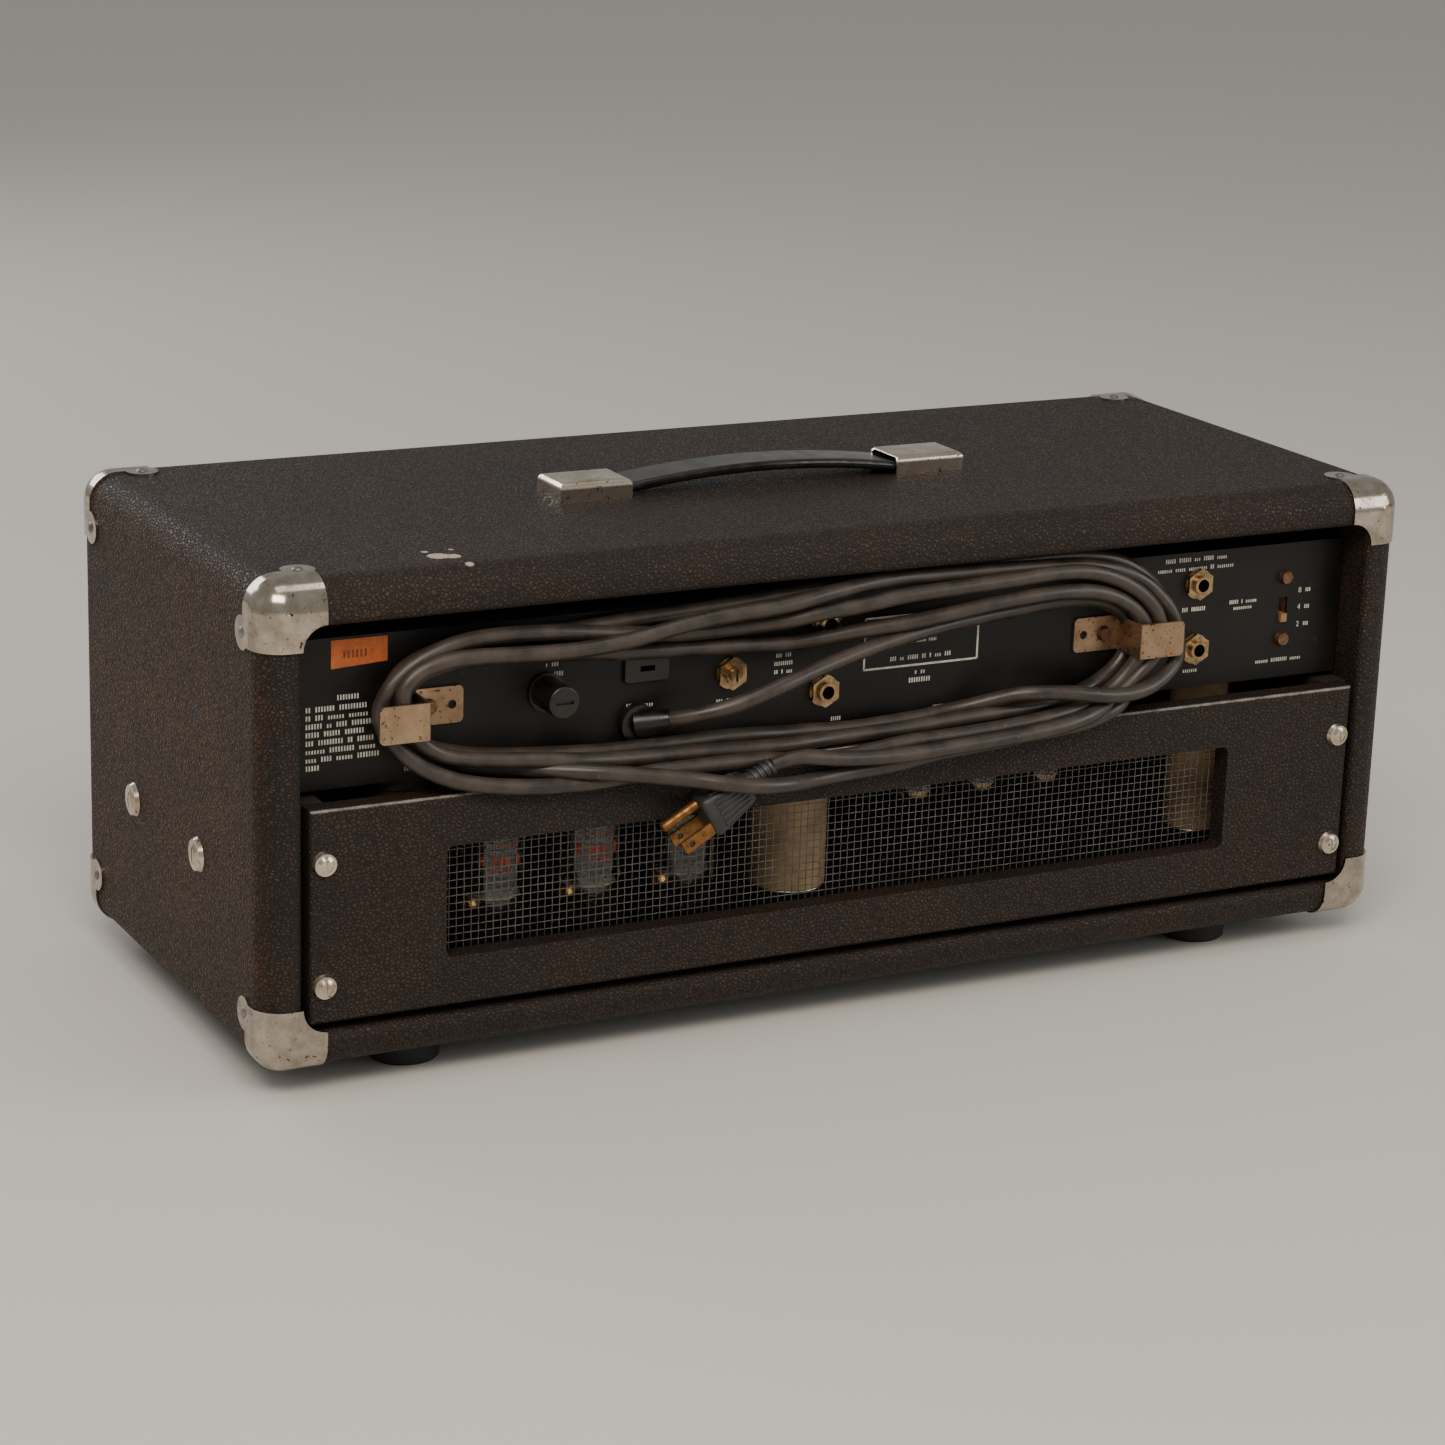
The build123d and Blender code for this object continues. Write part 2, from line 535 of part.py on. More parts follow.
def make_rear_panel():
    board = block((-PANEL_X, PANEL_X), (PANEL_INSIDE, PANEL_FACE), (PANEL_BASE, PANEL_TOP))
    board = fillet([edge for edge in board.edges() if edge.center().Y > PANEL_FACE - 0.1], 2.0)
    window = block(WINDOW_X, (PANEL_INSIDE - 1, PANEL_FACE + 1), WINDOW_Z)
    board -= fillet(window.edges().filter_by(Axis.Y), WINDOW_ROUND)
    screws, cups, cleats = [], [], []
    for x, z in SCREW_PLACES:
        board -= rod_y(PANEL_SCREW_RADIUS + HOLE_PLAY, x, z, PANEL_INSIDE - 1, PANEL_FACE + 1)
        screws.append(oval_screw((x, PANEL_FACE, z), (0, 1, 0), PANEL_SCREW_HEAD, PANEL_SCREW_RADIUS,
                                 PANEL_BOARD + PANEL_SCREW_GRIP))
        cups.append(cup_washer((x, PANEL_FACE, z), (0, 1, 0), PANEL_SCREW_CUP, PANEL_SCREW_HEAD,
                               PANEL_SCREW_RADIUS))
    for side in (-1, 1):
        cleat = block(sorted((side * IN_X, side * (IN_X - CLEAT_WIDTH))),
                      (PANEL_INSIDE - CLEAT_DEPTH, PANEL_INSIDE), (IN_BASE, PANEL_TOP))
        for x, z in SCREW_PLACES:
            cleat -= rod_y(PANEL_SCREW_RADIUS + HOLE_PLAY, x, z, PANEL_INSIDE - CLEAT_DEPTH - 1, PANEL_FACE)
        cleats.append(cleat)
        for y in SIDE_BOLTS_Y:
            cups.append(cup_washer((side * HALF, y, SIDE_BOLT_Z), (side, 0, 0), SIDE_BOLT_CUP, SIDE_BOLT_HEAD,
                                   SIDE_BOLT_RADIUS))
    lap = SCREEN_LAP
    screen = block((WINDOW_X[0] - lap, WINDOW_X[1] + lap), (PANEL_INSIDE - SCREEN_THICK, PANEL_INSIDE),
                   (WINDOW_Z[0] - lap, WINDOW_Z[1] + lap))
    keep("rear_panel", board)
    keep("wire_screen", screen)
    keep("rear_panel_screws", *screws)
    keep("cup_washers", *cups)
    keep("panel_cleats", *cleats)


# ---------------------------------------------------------------- chassis

def chassis_cuts():
    """Cutters for every hole in the chassis walls and floor."""
    for x, z in REAR_JACKS + [(HUM_POT_AT[0], FLOOR + HUM_POT_AT[1])]:
        yield rod_y(BUSHING_HOLE, x, z, WALL - 4, WALL + 2)
    yield rod_y(FUSE_HOLDER_RADIUS + HOLE_PLAY, FUSE_AT[0], FLOOR + FUSE_AT[1], WALL - 4, WALL + 2)
    yield rod_y(RELIEF_RADIUS + HOLE_PLAY, RELIEF_AT[0], FLOOR + RELIEF_AT[1], WALL - 4, WALL + 2)
    wide, tall = [size / 2 + HOLE_PLAY for size in OUTLET_BODY]
    x, z = OUTLET_AT[0], FLOOR + OUTLET_AT[1]
    yield block((x - wide, x + wide), (WALL - 4, WALL + 2), (z - tall, z + tall))
    wide, tall = [size / 2 for size in SWITCH_SLOT]
    z = FLOOR + SWITCH_UP + SWITCH_SLOT_UP
    yield block((SWITCH_X - wide, SWITCH_X + wide), (WALL - 4, WALL + 2), (z - tall, z + tall))
    for x, z in small_screw_places():
        yield rod_y(SCREW_RADIUS + HOLE_PLAY, x, z, WALL - 4, WALL + 2)
    for cut in front_cuts():
        yield cut
    for x in POWER_VALVE_PLACES:
        yield rod(POWER_SOCKET_RADIUS + HOLE_PLAY, (x, VALVE_Y, FLOOR - 2), (x, VALVE_Y, FLOOR + 3))
    for x in PREAMP_PLACES:
        yield rod(PREAMP_SOCKET_RADIUS + HOLE_PLAY, (x, VALVE_Y, FLOOR - 2), (x, VALVE_Y, FLOOR + 3))


def front_cuts():
    """Cutters for the holes that the front wall and the control plate share."""
    low, high = CONTROL_FACE - 2, -WALL + 4
    z = FLOOR + CONTROL_UP
    for x in list(KNOB_PLACES.values()) + [x for x, _ in FRONT_JACKS] + [CHASSIS_X - LAMP_IN]:
        yield rod_y(BUSHING_HOLE, x, z, low, high)
    for x in ROCKER_PLACES.values():
        wide = ROCKER_WIDE / 2 + MOVING_GAP + HOUSING_WALL + HOLE_PLAY
        tall = ROCKER_RADIUS + MOVING_GAP + HOUSING_WALL + HOLE_PLAY
        yield block((x - wide, x + wide), (low, high), (z - tall, z + tall))


def small_screw_places():
    """Screws in the rear wall: one in each hook and two in the slide switch."""
    places = [(x - out * (HOOK_BASE - HOOK_SCREW), FLOOR + HOOK_UP) for x, out in HOOKS.values()]
    return places + [(SWITCH_X, FLOOR + SWITCH_UP + side * SWITCH_SCREWS / 2) for side in (-1, 1)]


def make_chassis():
    """An open tray of sheet: a floor, two long walls with a lip on each, and two ends."""
    up = (FLOOR + SHEET, CHASSIS_TOP)
    between_ends = (SHEET - CHASSIS_X, CHASSIS_X - SHEET)
    plates = [block((-CHASSIS_X, CHASSIS_X), (-WALL, WALL), (FLOOR, FLOOR + SHEET))]
    for side in (-1, 1):
        plates.append(block(sorted((side * CHASSIS_X, side * (CHASSIS_X - SHEET))), (-WALL, WALL), up))
        plates.append(block(between_ends, sorted((side * WALL, side * (WALL - SHEET))), up))
        plates.append(block(between_ends, sorted((side * (WALL - SHEET), side * (WALL - CHASSIS_LIP))),
                            (CHASSIS_TOP - SHEET, CHASSIS_TOP)))
    for cut in chassis_cuts():
        plates = [plate - cut for plate in plates]
    keep("chassis_pan", *plates)
    brackets, bolts = [], []
    for side in (-1, 1):
        bracket = block(sorted((side * CHASSIS_X, side * (CHASSIS_X + SHEET))), (BRACKET_FRONT, BRACKET_REAR),
                        (FLOOR - BRACKET_DROP, FLOOR + BRACKET_UP))
        bracket = fillet(bracket.edges().filter_by(Axis.X), 6.0)
        for y in SIDE_BOLTS_Y:
            bracket -= rod(SIDE_BOLT_RADIUS + HOLE_PLAY, (side * (IN_X - 6), y, SIDE_BOLT_Z),
                           (side * (IN_X + 6), y, SIDE_BOLT_Z))
            head, nut = (side * HALF, y, SIDE_BOLT_Z), (side * CHASSIS_X, y, SIDE_BOLT_Z)
            bolts.append(oval_screw(head, (side, 0, 0), SIDE_BOLT_HEAD, SIDE_BOLT_RADIUS,
                                    HALF - CHASSIS_X + SIDE_NUT_THICK + 2))
            bolts.append(hex_nut(nut, (-side, 0, 0), SIDE_NUT, SIDE_BOLT_RADIUS, SIDE_NUT_THICK))
        brackets.append(bracket)
    keep("chassis_brackets", *brackets)
    keep("chassis_bolts", *bolts)


# ---------------------------------------------------------------- rear fittings

def jack(x, z, wall, out, plates):
    """A quarter-inch jack behind a wall whose face looks along out, with its nut and washer."""
    back = wall - out * plates
    mouth = wall + out * BUSHING_OUT
    half = JACK_SIDE / 2
    body = block((x - half, x + half), sorted((back - out * JACK_DEPTH, back)), (z - half, z + half))
    body += rod_y(BUSHING_RADIUS, x, z, back - out, mouth)
    return body - rod_y(JACK_BORE, x, z, mouth - out * JACK_BORE_DEPTH, mouth + out)


def bushing_nut(x, z, wall, out):
    aim = (0, out, 0)
    inner, rim = BUSHING_RADIUS + NUT_PLAY, WASHER_RADIUS
    washer = turned([(inner, 0), (rim, 0), (rim, WASHER_THICK), (inner, WASHER_THICK)], (x, wall, z), aim)
    return washer, hex_nut((x, wall + out * WASHER_THICK, z), aim, NUT_ACROSS, inner, NUT_THICK)


def make_jacks():
    jacks = [jack(x, z, WALL, 1, SHEET) for x, z in REAR_JACKS]
    jacks += [jack(x, z, CONTROL_FACE, -1, SHEET + CONTROL_PLATE) for x, z in FRONT_JACKS]
    keep("jacks", *jacks)
    nuts = []
    for x, z in REAR_JACKS + [(HUM_POT_AT[0], FLOOR + HUM_POT_AT[1])]:
        nuts += bushing_nut(x, z, WALL, 1)
    for x, z in FRONT_JACKS + [(x, FLOOR + CONTROL_UP) for x in KNOB_PLACES.values()]:
        nuts += bushing_nut(x, z, CONTROL_FACE, -1)
    keep("bushing_nuts", *nuts)


def make_fuse():
    """A panel fuse holder, and a cap that turns and pulls out with the end of the fuse in it."""
    x, z = FUSE_AT[0], FLOOR + FUSE_AT[1]
    tip = WALL + FUSE_FLANGE
    floor = WALL - FUSE_LENGTH - 6
    holder = rod_y(FUSE_HOLDER_RADIUS, x, z, floor - 4, WALL) + rod_y(FUSE_FLANGE_RADIUS, x, z, WALL, tip)
    keep("fuse_holder", holder - rod_y(FUSE_BORE, x, z, floor, tip + 1))
    cap = rod_y(FUSE_CAP_RADIUS, x, z, tip + MOVING_GAP, WALL + FUSE_CAP_OUT)
    cap = fillet(cap.edges().sort_by(Axis.Y)[-1:], 1.0)
    cap -= Pos(x, WALL + FUSE_CAP_OUT, z) * Box(*CAP_SLOT)
    seat = tip + FUSE_SEAT
    cap -= rod_y(FUSE_RADIUS + HOLE_PLAY, x, z, tip, seat + HOLE_PLAY)
    keep("fuse_cap", cap)
    keep("fuse", rod_y(FUSE_RADIUS, x, z, seat - FUSE_LENGTH, seat))


def make_outlet():
    x, z = OUTLET_AT[0], FLOOR + OUTLET_AT[1]
    wide, tall = [size / 2 for size in OUTLET_FACE]
    plate = block((x - wide, x + wide), (WALL, WALL + OUTLET_PLATE), (z - tall, z + tall))
    plate = fillet(plate.edges().filter_by(Axis.Y), 2.0)
    plate = fillet([edge for edge in plate.edges() if edge.center().Y > WALL + OUTLET_PLATE - 0.1], 0.8)
    wide, tall = [size / 2 for size in OUTLET_BODY]
    plate += block((x - wide, x + wide), (WALL - 20, WALL), (z - tall, z + tall))
    wide, tall = [size / 2 for size in OUTLET_SLOT]
    for up in (-OUTLET_SLOT_SPACING / 2, OUTLET_SLOT_SPACING / 2):
        plate -= block((x - wide, x + wide), (WALL - 14, WALL + 4), (z + up - tall, z + up + tall))
    keep("ac_outlet", plate)


def make_hum_pot():
    x, z = HUM_POT_AT[0], FLOOR + HUM_POT_AT[1]
    back = WALL - SHEET
    pot = rod_y(HUM_POT_RADIUS, x, z, back - HUM_POT_DEPTH, back)
    pot += rod_y(BUSHING_RADIUS, x, z, back, WALL + BUSHING_OUT)
    pot -= rod_y(SHAFT_RADIUS + SHAFT_PLAY, x, z, back - 5, WALL + BUSHING_OUT + 1)
    keep("hum_balance_pot", pot)
    shaft = rod_y(SHAFT_RADIUS, x, z, back - 5 + MOVING_GAP, WALL + BUSHING_OUT + 1.5)
    keep("hum_balance_shaft", shaft - Pos(x, WALL + BUSHING_OUT + 1.5, z) * Box(1.2, 3.0, 8.0))


def make_switch():
    x, z = SWITCH_X, FLOOR + SWITCH_UP
    back = WALL - SHEET
    body = block((x - SWITCH_WIDE / 2, x + SWITCH_WIDE / 2), (back - SWITCH_DEEP, back),
                 (z - SWITCH_TALL / 2, z + SWITCH_TALL / 2))
    wide, tall = [size / 2 for size in SWITCH_SLOT]
    slot_z = z + SWITCH_SLOT_UP
    body -= block((x - wide, x + wide), (back - 6, back + 1), (slot_z - tall, slot_z + tall))
    for side in (-1, 1):
        screw_z = z + side * SWITCH_SCREWS / 2
        body -= rod_y(SCREW_RADIUS + HOLE_PLAY, x, screw_z, back - SWITCH_DEEP - 1, back + 1)
    keep("impedance_switch", body)
    low = slot_z - tall + (2 * tall - SLIDER_SIZE[1] - SLIDER_TRAVEL) / 2
    keep("impedance_slider", block((x - SLIDER_SIZE[0] / 2, x + SLIDER_SIZE[0] / 2),
                                   (back - 6 + MOVING_GAP, WALL + SLIDER_OUT), (low, low + SLIDER_SIZE[1])))


def make_hooks():
    """Bent strips on the rear wall that the cord is wound round: base, step out and end plate."""
    hooks = []
    tall = (FLOOR + HOOK_UP - HOOK_TALL / 2, FLOOR + HOOK_UP + HOOK_TALL / 2)
    for x, out in HOOKS.values():
        step = x + out * HOOK_SHEET
        crown = WALL + HOOK_STEP
        hook = block(sorted((x - out * HOOK_BASE, step)), (WALL, WALL + HOOK_SHEET), tall)
        hook += block(sorted((x, step)), (WALL, crown), tall)
        hook += block(sorted((x, x + out * HOOK_REACH)), (crown - HOOK_SHEET, crown), tall)
        tips = (x - out * HOOK_BASE, x + out * HOOK_REACH)
        corners = [edge for edge in hook.edges().filter_by(Axis.Y)
                   if min(abs(edge.center().X - tip) for tip in tips) < 0.1]
        hook = fillet(corners, 2.5)
        bends = [edge for edge in hook.edges().filter_by(Axis.Z)
                 if abs(edge.center().X - step) < 0.1 and edge.center().Y < WALL + 0.1
                 or abs(edge.center().X - x) < 0.1 and edge.center().Y > crown - 0.1]
        hook = fillet(bends, HOOK_SHEET)
        for inset in (HOOK_SCREW, HOOK_HOLE):
            at = x - out * (HOOK_BASE - inset)
            hook -= rod_y(SCREW_RADIUS + HOLE_PLAY, at, FLOOR + HOOK_UP, WALL - 1, WALL + 3)
        hooks.append(hook)
    keep("cord_hooks", *hooks)
    screws = []
    for index, (sx, z) in enumerate(small_screw_places()):
        face = WALL + HOOK_SHEET if index < len(HOOKS) else WALL
        length = face - WALL + SHEET + (4 if index < len(HOOKS) else SWITCH_DEEP - 1)
        screws.append(pan_screw((sx, face, z), (0, 1, 0), length))
    keep("panel_screws", *screws)


# ---------------------------------------------------------------- front fittings

def make_control_panel():
    plate = block((-CHASSIS_X, CHASSIS_X), (CONTROL_FACE, -WALL), (FLOOR, CHASSIS_TOP))
    for cut in front_cuts():
        plate -= cut
    keep("control_panel", plate)


def make_knobs():
    pots = []
    z = FLOOR + CONTROL_UP
    back = -WALL + SHEET
    for name, x in KNOB_PLACES.items():
        pot = rod_y(POT_RADIUS, x, z, back, back + POT_DEPTH)
        pot += rod_y(BUSHING_RADIUS, x, z, CONTROL_FACE - BUSHING_OUT, back)
        pot -= rod_y(SHAFT_RADIUS + SHAFT_PLAY, x, z, CONTROL_FACE - BUSHING_OUT - 1, back + POT_DEPTH - 3)
        pots.append(pot)
        tip = CONTROL_FACE - KNOB_OUT
        keep(name + "_shaft", rod_y(SHAFT_RADIUS, x, z, tip + 4.0, back + POT_DEPTH - 3 - MOVING_GAP))
        rear = CONTROL_FACE - KNOB_BACK
        cone = Cone(KNOB_SKIRT, KNOB_SKIRT - KNOB_SKIRT_TAPER, KNOB_SKIRT_THICK, align=ON_BASE)
        skirt = Plane(origin=(x, rear, z), z_dir=(0, -1, 0)) * cone
        body = rod_y(KNOB_RADIUS, x, z, rear - KNOB_SKIRT_THICK, tip)
        knob = skirt + fillet(body.edges().sort_by(Axis.Y)[:1], 1.2)
        knob -= rod_y(KNOB_HOLLOW, x, z, rear + 1, CONTROL_FACE - BUSHING_OUT - MOVING_GAP)
        knob -= rod_y(SHAFT_RADIUS, x, z, rear + 1, tip + 4.0)
        pointer = Pos(x, tip, z + KNOB_RADIUS / 2) * Box(1.2, 1.0, KNOB_RADIUS)
        keep(name + "_knob", knob - pointer)
    keep("control_pots", *pots)


def make_rockers():
    housings = []
    z = FLOOR + CONTROL_UP
    pivot = CONTROL_FACE + ROCKER_PIVOT_IN
    hollow_x = ROCKER_WIDE / 2 + MOVING_GAP
    hollow_z = ROCKER_RADIUS + MOVING_GAP
    for name, x in ROCKER_PLACES.items():
        wide, tall, thick = BEZEL
        housing = block((x - hollow_x - HOUSING_WALL, x + hollow_x + HOUSING_WALL),
                        (CONTROL_FACE, pivot + hollow_z + HOUSING_WALL),
                        (z - hollow_z - HOUSING_WALL, z + hollow_z + HOUSING_WALL))
        bezel = block((x - wide / 2, x + wide / 2), (CONTROL_FACE - thick, CONTROL_FACE),
                      (z - tall / 2, z + tall / 2))
        front_edges = [edge for edge in bezel.edges() if edge.center().Y < CONTROL_FACE - thick + 0.1]
        housing += fillet(front_edges, 0.8)
        housing -= block((x - hollow_x, x + hollow_x), (CONTROL_FACE - thick - 1, pivot + hollow_z),
                         (z - hollow_z, z + hollow_z))
        pin_end = hollow_x + ROCKER_PIN
        housing -= rod(ROCKER_PIN_RADIUS + SHAFT_PLAY, (x - pin_end, pivot, z), (x + pin_end, pivot, z))
        housings.append(housing)
        rocker = rod(ROCKER_RADIUS, (x - ROCKER_WIDE / 2, pivot, z), (x + ROCKER_WIDE / 2, pivot, z))
        rise = math.tan(math.radians(ROCKER_FACE)) * 2 * ROCKER_RADIUS
        low = pivot - ROCKER_VALLEY
        valley = Polyline([(x - ROCKER_WIDE, low, z),
                           (x - ROCKER_WIDE, low - rise, z + 2 * ROCKER_RADIUS),
                           (x - ROCKER_WIDE, low - rise, z - 2 * ROCKER_RADIUS)], close=True)
        rocker -= extrude(make_face(valley), 2 * ROCKER_WIDE, dir=(1, 0, 0))
        pin = ROCKER_WIDE / 2 + MOVING_GAP + ROCKER_PIN - 0.2
        rocker += rod(ROCKER_PIN_RADIUS, (x - pin, pivot, z), (x + pin, pivot, z))
        tilt = Pos(x, pivot, z) * Rot(ROCKER_TILT, 0, 0) * Pos(-x, -pivot, -z)
        keep(name + "_rocker", tilt * rocker)
    keep("rocker_housings", *housings)
    x = CHASSIS_X - LAMP_IN
    lamp = rod_y(BUSHING_RADIUS, x, z, CONTROL_FACE, -WALL + SHEET + 14)
    jewel = Plane(origin=(x, CONTROL_FACE, z), z_dir=(0, -1, 0)) * Cylinder(LAMP_RADIUS, 5.0, align=ON_BASE)
    keep("pilot_lamp", lamp + fillet(jewel.edges().sort_by(Axis.Y)[:1], 3.0))


def make_baffle():
    x = IN_X - BAFFLE_GAP
    low, high = IN_BASE + BAFFLE_GAP, FLOOR - BAFFLE_GAP
    rail = BAFFLE_RAIL
    board = block((-x, x), (-WALL - BAFFLE_BOARD, -WALL), (low, high))
    board -= block((-x + rail, x - rail), (-WALL - BAFFLE_BOARD - 1, -WALL + 1), (low + rail, high - rail))
    keep("baffle", board)
    keep("grille_cloth", block((-x, x), (-WALL - BAFFLE_BOARD - CLOTH, -WALL - BAFFLE_BOARD), (low, high)))


# ---------------------------------------------------------------- valves and transformers

def socket(x, radius):
    flange = rod(radius + SOCKET_RIM, (x, VALVE_Y, FLOOR - SOCKET_FLANGE), (x, VALVE_Y, FLOOR))
    return flange + rod(radius, (x, VALVE_Y, FLOOR), (x, VALVE_Y, FLOOR + SOCKET_BODY))


def make_valves():
    sockets, power, preamp = [], [], []
    top = FLOOR - SOCKET_FLANGE
    for x in POWER_VALVE_PLACES:
        sockets.append(socket(x, POWER_SOCKET_RADIUS))
        power.append(rod(POWER_BASE_RADIUS, (x, VALVE_Y, top - POWER_BASE), (x, VALVE_Y, top)))
        tip = top - POWER_LENGTH
        bulb = rod(POWER_BULB_RADIUS, (x, VALVE_Y, tip), (x, VALVE_Y, top - POWER_BASE))
        power.append(fillet(bulb.edges().sort_by(Axis.Z)[:1], POWER_BULB_RADIUS * 0.6))
    for x in PREAMP_PLACES:
        sockets.append(socket(x, PREAMP_SOCKET_RADIUS))
        bulb = rod(PREAMP_RADIUS, (x, VALVE_Y, top - PREAMP_LENGTH), (x, VALVE_Y, top))
        preamp.append(fillet(bulb.edges().sort_by(Axis.Z)[:1], PREAMP_RADIUS * 0.7))
    keep("valve_sockets", *sockets)
    keep("power_valves", *power)
    keep("preamp_valves", *preamp)


def transformer(core, at):
    """A laminated core under the chassis floor, with a bell cover on each side of it."""
    (long, deep, tall), (x, y) = core, at
    bell = deep * BELL_SHARE
    stack = block((x - long / 2, x + long / 2), (y - deep / 2 + bell, y + deep / 2 - bell),
                  (FLOOR - tall, FLOOR))
    covers = block((x - long / 2 + BELL_STEP, x + long / 2 - BELL_STEP), (y - deep / 2, y + deep / 2),
                   (FLOOR - tall + BELL_STEP, FLOOR - BELL_STEP))
    rims = [edge for edge in covers.edges() if abs(abs(edge.center().Y - y) - deep / 2) < 0.1]
    return stack + fillet(rims, BELL_ROUND)


def make_inside():
    keep("power_transformer", transformer(POWER_CORE, POWER_CORE_AT))
    keep("output_transformer", transformer(OUTPUT_CORE, OUTPUT_CORE_AT))
    cans = []
    for x, y, radius, length in CAN_PLACES:
        can = rod(radius, (x, y, FLOOR - length), (x, y, FLOOR))
        cans.append(fillet(can.edges().sort_by(Axis.Z)[:1], 1.5))
    keep("filter_capacitors", *cans)
    long, deep, thick = CIRCUIT_BOARD
    x, y = CIRCUIT_BOARD_AT
    low = FLOOR + SHEET + BOARD_STAND
    board = block((x - long / 2, x + long / 2), (y - deep / 2, y + deep / 2), (low, low + thick))
    for sx in (-1, 1):
        for sy in (-1, 1):
            px, py = x + sx * (long / 2 - 8), y + sy * (deep / 2 - 8)
            board += rod(STAND_RADIUS, (px, py, FLOOR + SHEET), (px, py, low))
    keep("circuit_board", board)


# ---------------------------------------------------------------- power cord

def cord_path(points):
    """Straight runs joined by tangent arcs, each as large as its two runs allow."""
    points = [Vector(*point) for point in points]
    radii = []
    for before, here, after in zip(points, points[1:], points[2:]):
        turn = (here - before).get_angle(after - here)
        shorter = min((here - before).length, (after - here).length)
        radii.append(BEND_SHARE * shorter / math.tan(math.radians(turn) / 2))
    print("cord radii", [round(radius, 1) for radius in radii])
    return FilletPolyline(*points, radius=radii)


def make_relief():
    x, z = RELIEF_AT[0], FLOOR + RELIEF_AT[1]
    head = WALL + RELIEF_HEAD_THICK
    relief = rod_y(RELIEF_RADIUS, x, z, WALL - 8, WALL + 1) + rod_y(RELIEF_HEAD, x, z, WALL, head)
    start, second = Vector(*LEAD_ROUTE[0]), Vector(*LEAD_ROUTE[1])
    aim = (second - start).normalized()
    length = (start - Vector(x, WALL + 2.5, z)).length
    nose = Cone(CORD / 2 + 1.2, RELIEF_RADIUS, length, align=ON_BASE)
    relief += Plane(origin=start, z_dir=aim * -1) * nose
    keep("strain_relief", relief)


def plug_plane(distance):
    """A plane across the plug at a distance from its neck's end, with its X axis sideways."""
    aim = Vector(*PLUG_AIM).normalized()
    across = Vector(0, 0, 1).cross(aim)
    return Plane(origin=Vector(*PLUG_NECK_END) + aim * distance, x_dir=across, z_dir=aim)


def make_plug():
    neck = plug_plane(0) * Cone(*PLUG_NECK_RADII, PLUG_NECK + 1, align=ON_BASE)
    back = plug_plane(PLUG_NECK) * RectangleRounded(*PLUG_BACK, PLUG_ROUND)
    face = plug_plane(PLUG_NECK + PLUG_BODY) * RectangleRounded(*PLUG_FACE, PLUG_ROUND)
    body = neck + loft([back, face])
    front = plug_plane(PLUG_NECK + PLUG_BODY)
    thick, wide, long = BLADE
    blades = []
    for side in (-1, 1):
        blade = Pos(side * BLADE_SPACING / 2, -BLADE_DROP, 0) * Box(thick, wide, long, align=ON_BASE)
        hole = Rot(0, 90, 0) * Cylinder(BLADE_HOLE, 2 * thick + 1)
        blade -= Pos(side * BLADE_SPACING / 2, -BLADE_DROP, long - BLADE_HOLE_IN) * hole
        blades.append(front * blade)
    ground = fillet(Cylinder(GROUND_RADIUS, GROUND_LENGTH, align=ON_BASE).edges().sort_by(Axis.Z)[-1:], 1.2)
    blades.append(front * (Pos(0, GROUND_UP, 0) * ground))
    keep("plug_body", body)
    keep("plug_blades", *blades)


def hank_outline(points, closed):
    """A closed face in the XZ plane through points, smooth all round or closed by one straight."""
    placed = [(x, 0, z) for x, z in points]
    if closed:
        return make_face(Spline(*placed, periodic=True))
    return make_face([Spline(*placed), Line(placed[-1], placed[0])])


def between(face, depth):
    return Pos(0, depth[0], 0) * extrude(face, depth[1] - depth[0], dir=(0, 1, 0))


def make_cord():
    ring = between(hank_outline(HANK_OUTER, False), HANK_DEPTH)
    ring -= between(hank_outline(HANK_INNER, True), HANK_DEPTH)
    sag = Polyline([(x, 0, z) for x, z in HANK_SAG], close=True)
    hank = ring + between(make_face(sag), HANK_SAG_DEPTH) + block(*HANK_BULGE)
    z = FLOOR + JACK_UPPER
    hank -= rod_y(WASHER_RADIUS + 1, EXT_JACK_X, z, WALL, WALL + BUSHING_OUT + HANK_CLEAR)
    wide, tall = [size / 2 + HANK_CLEAR for size in OUTLET_FACE]
    x, z = OUTLET_AT[0], FLOOR + OUTLET_AT[1]
    hank -= block((x - wide, x + wide), (WALL, WALL + OUTLET_PLATE + HANK_CLEAR), (z - tall, z + tall))
    for solid in NODES["plug_body"] + NODES["plug_blades"] + NODES["strain_relief"]:
        hank -= solid
    keep("cord_hank", hank)
    path = cord_path(LEAD_ROUTE)
    lead = sweep(Plane(origin=path @ 0, z_dir=path % 0) * Circle(CORD / 2), path=path)
    section = math.pi * CORD ** 2 / 4
    print("lead volume", round(lead.volume), "section by length", round(section * path.length))
    keep("cord_lead", lead - hank)


make_cabinet()
make_feet()
make_corner_protectors()
make_handle()
make_rear_panel()
make_chassis()
make_jacks()
make_fuse()
make_outlet()
make_hum_pot()
make_switch()
make_hooks()
make_control_panel()
make_knobs()
make_rockers()
make_baffle()
make_valves()
make_inside()
make_relief()
make_plug()
make_cord()

os.makedirs("parts", exist_ok=True)
for name, solids in NODES.items():
    shape = solids[0] if len(solids) == 1 else Compound(children=solids)
    export_step(shape, f"parts/{name}.step")
print(len(NODES), "nodes")
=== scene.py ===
import math

import bmesh
import bpy
from mathutils import Matrix, Vector


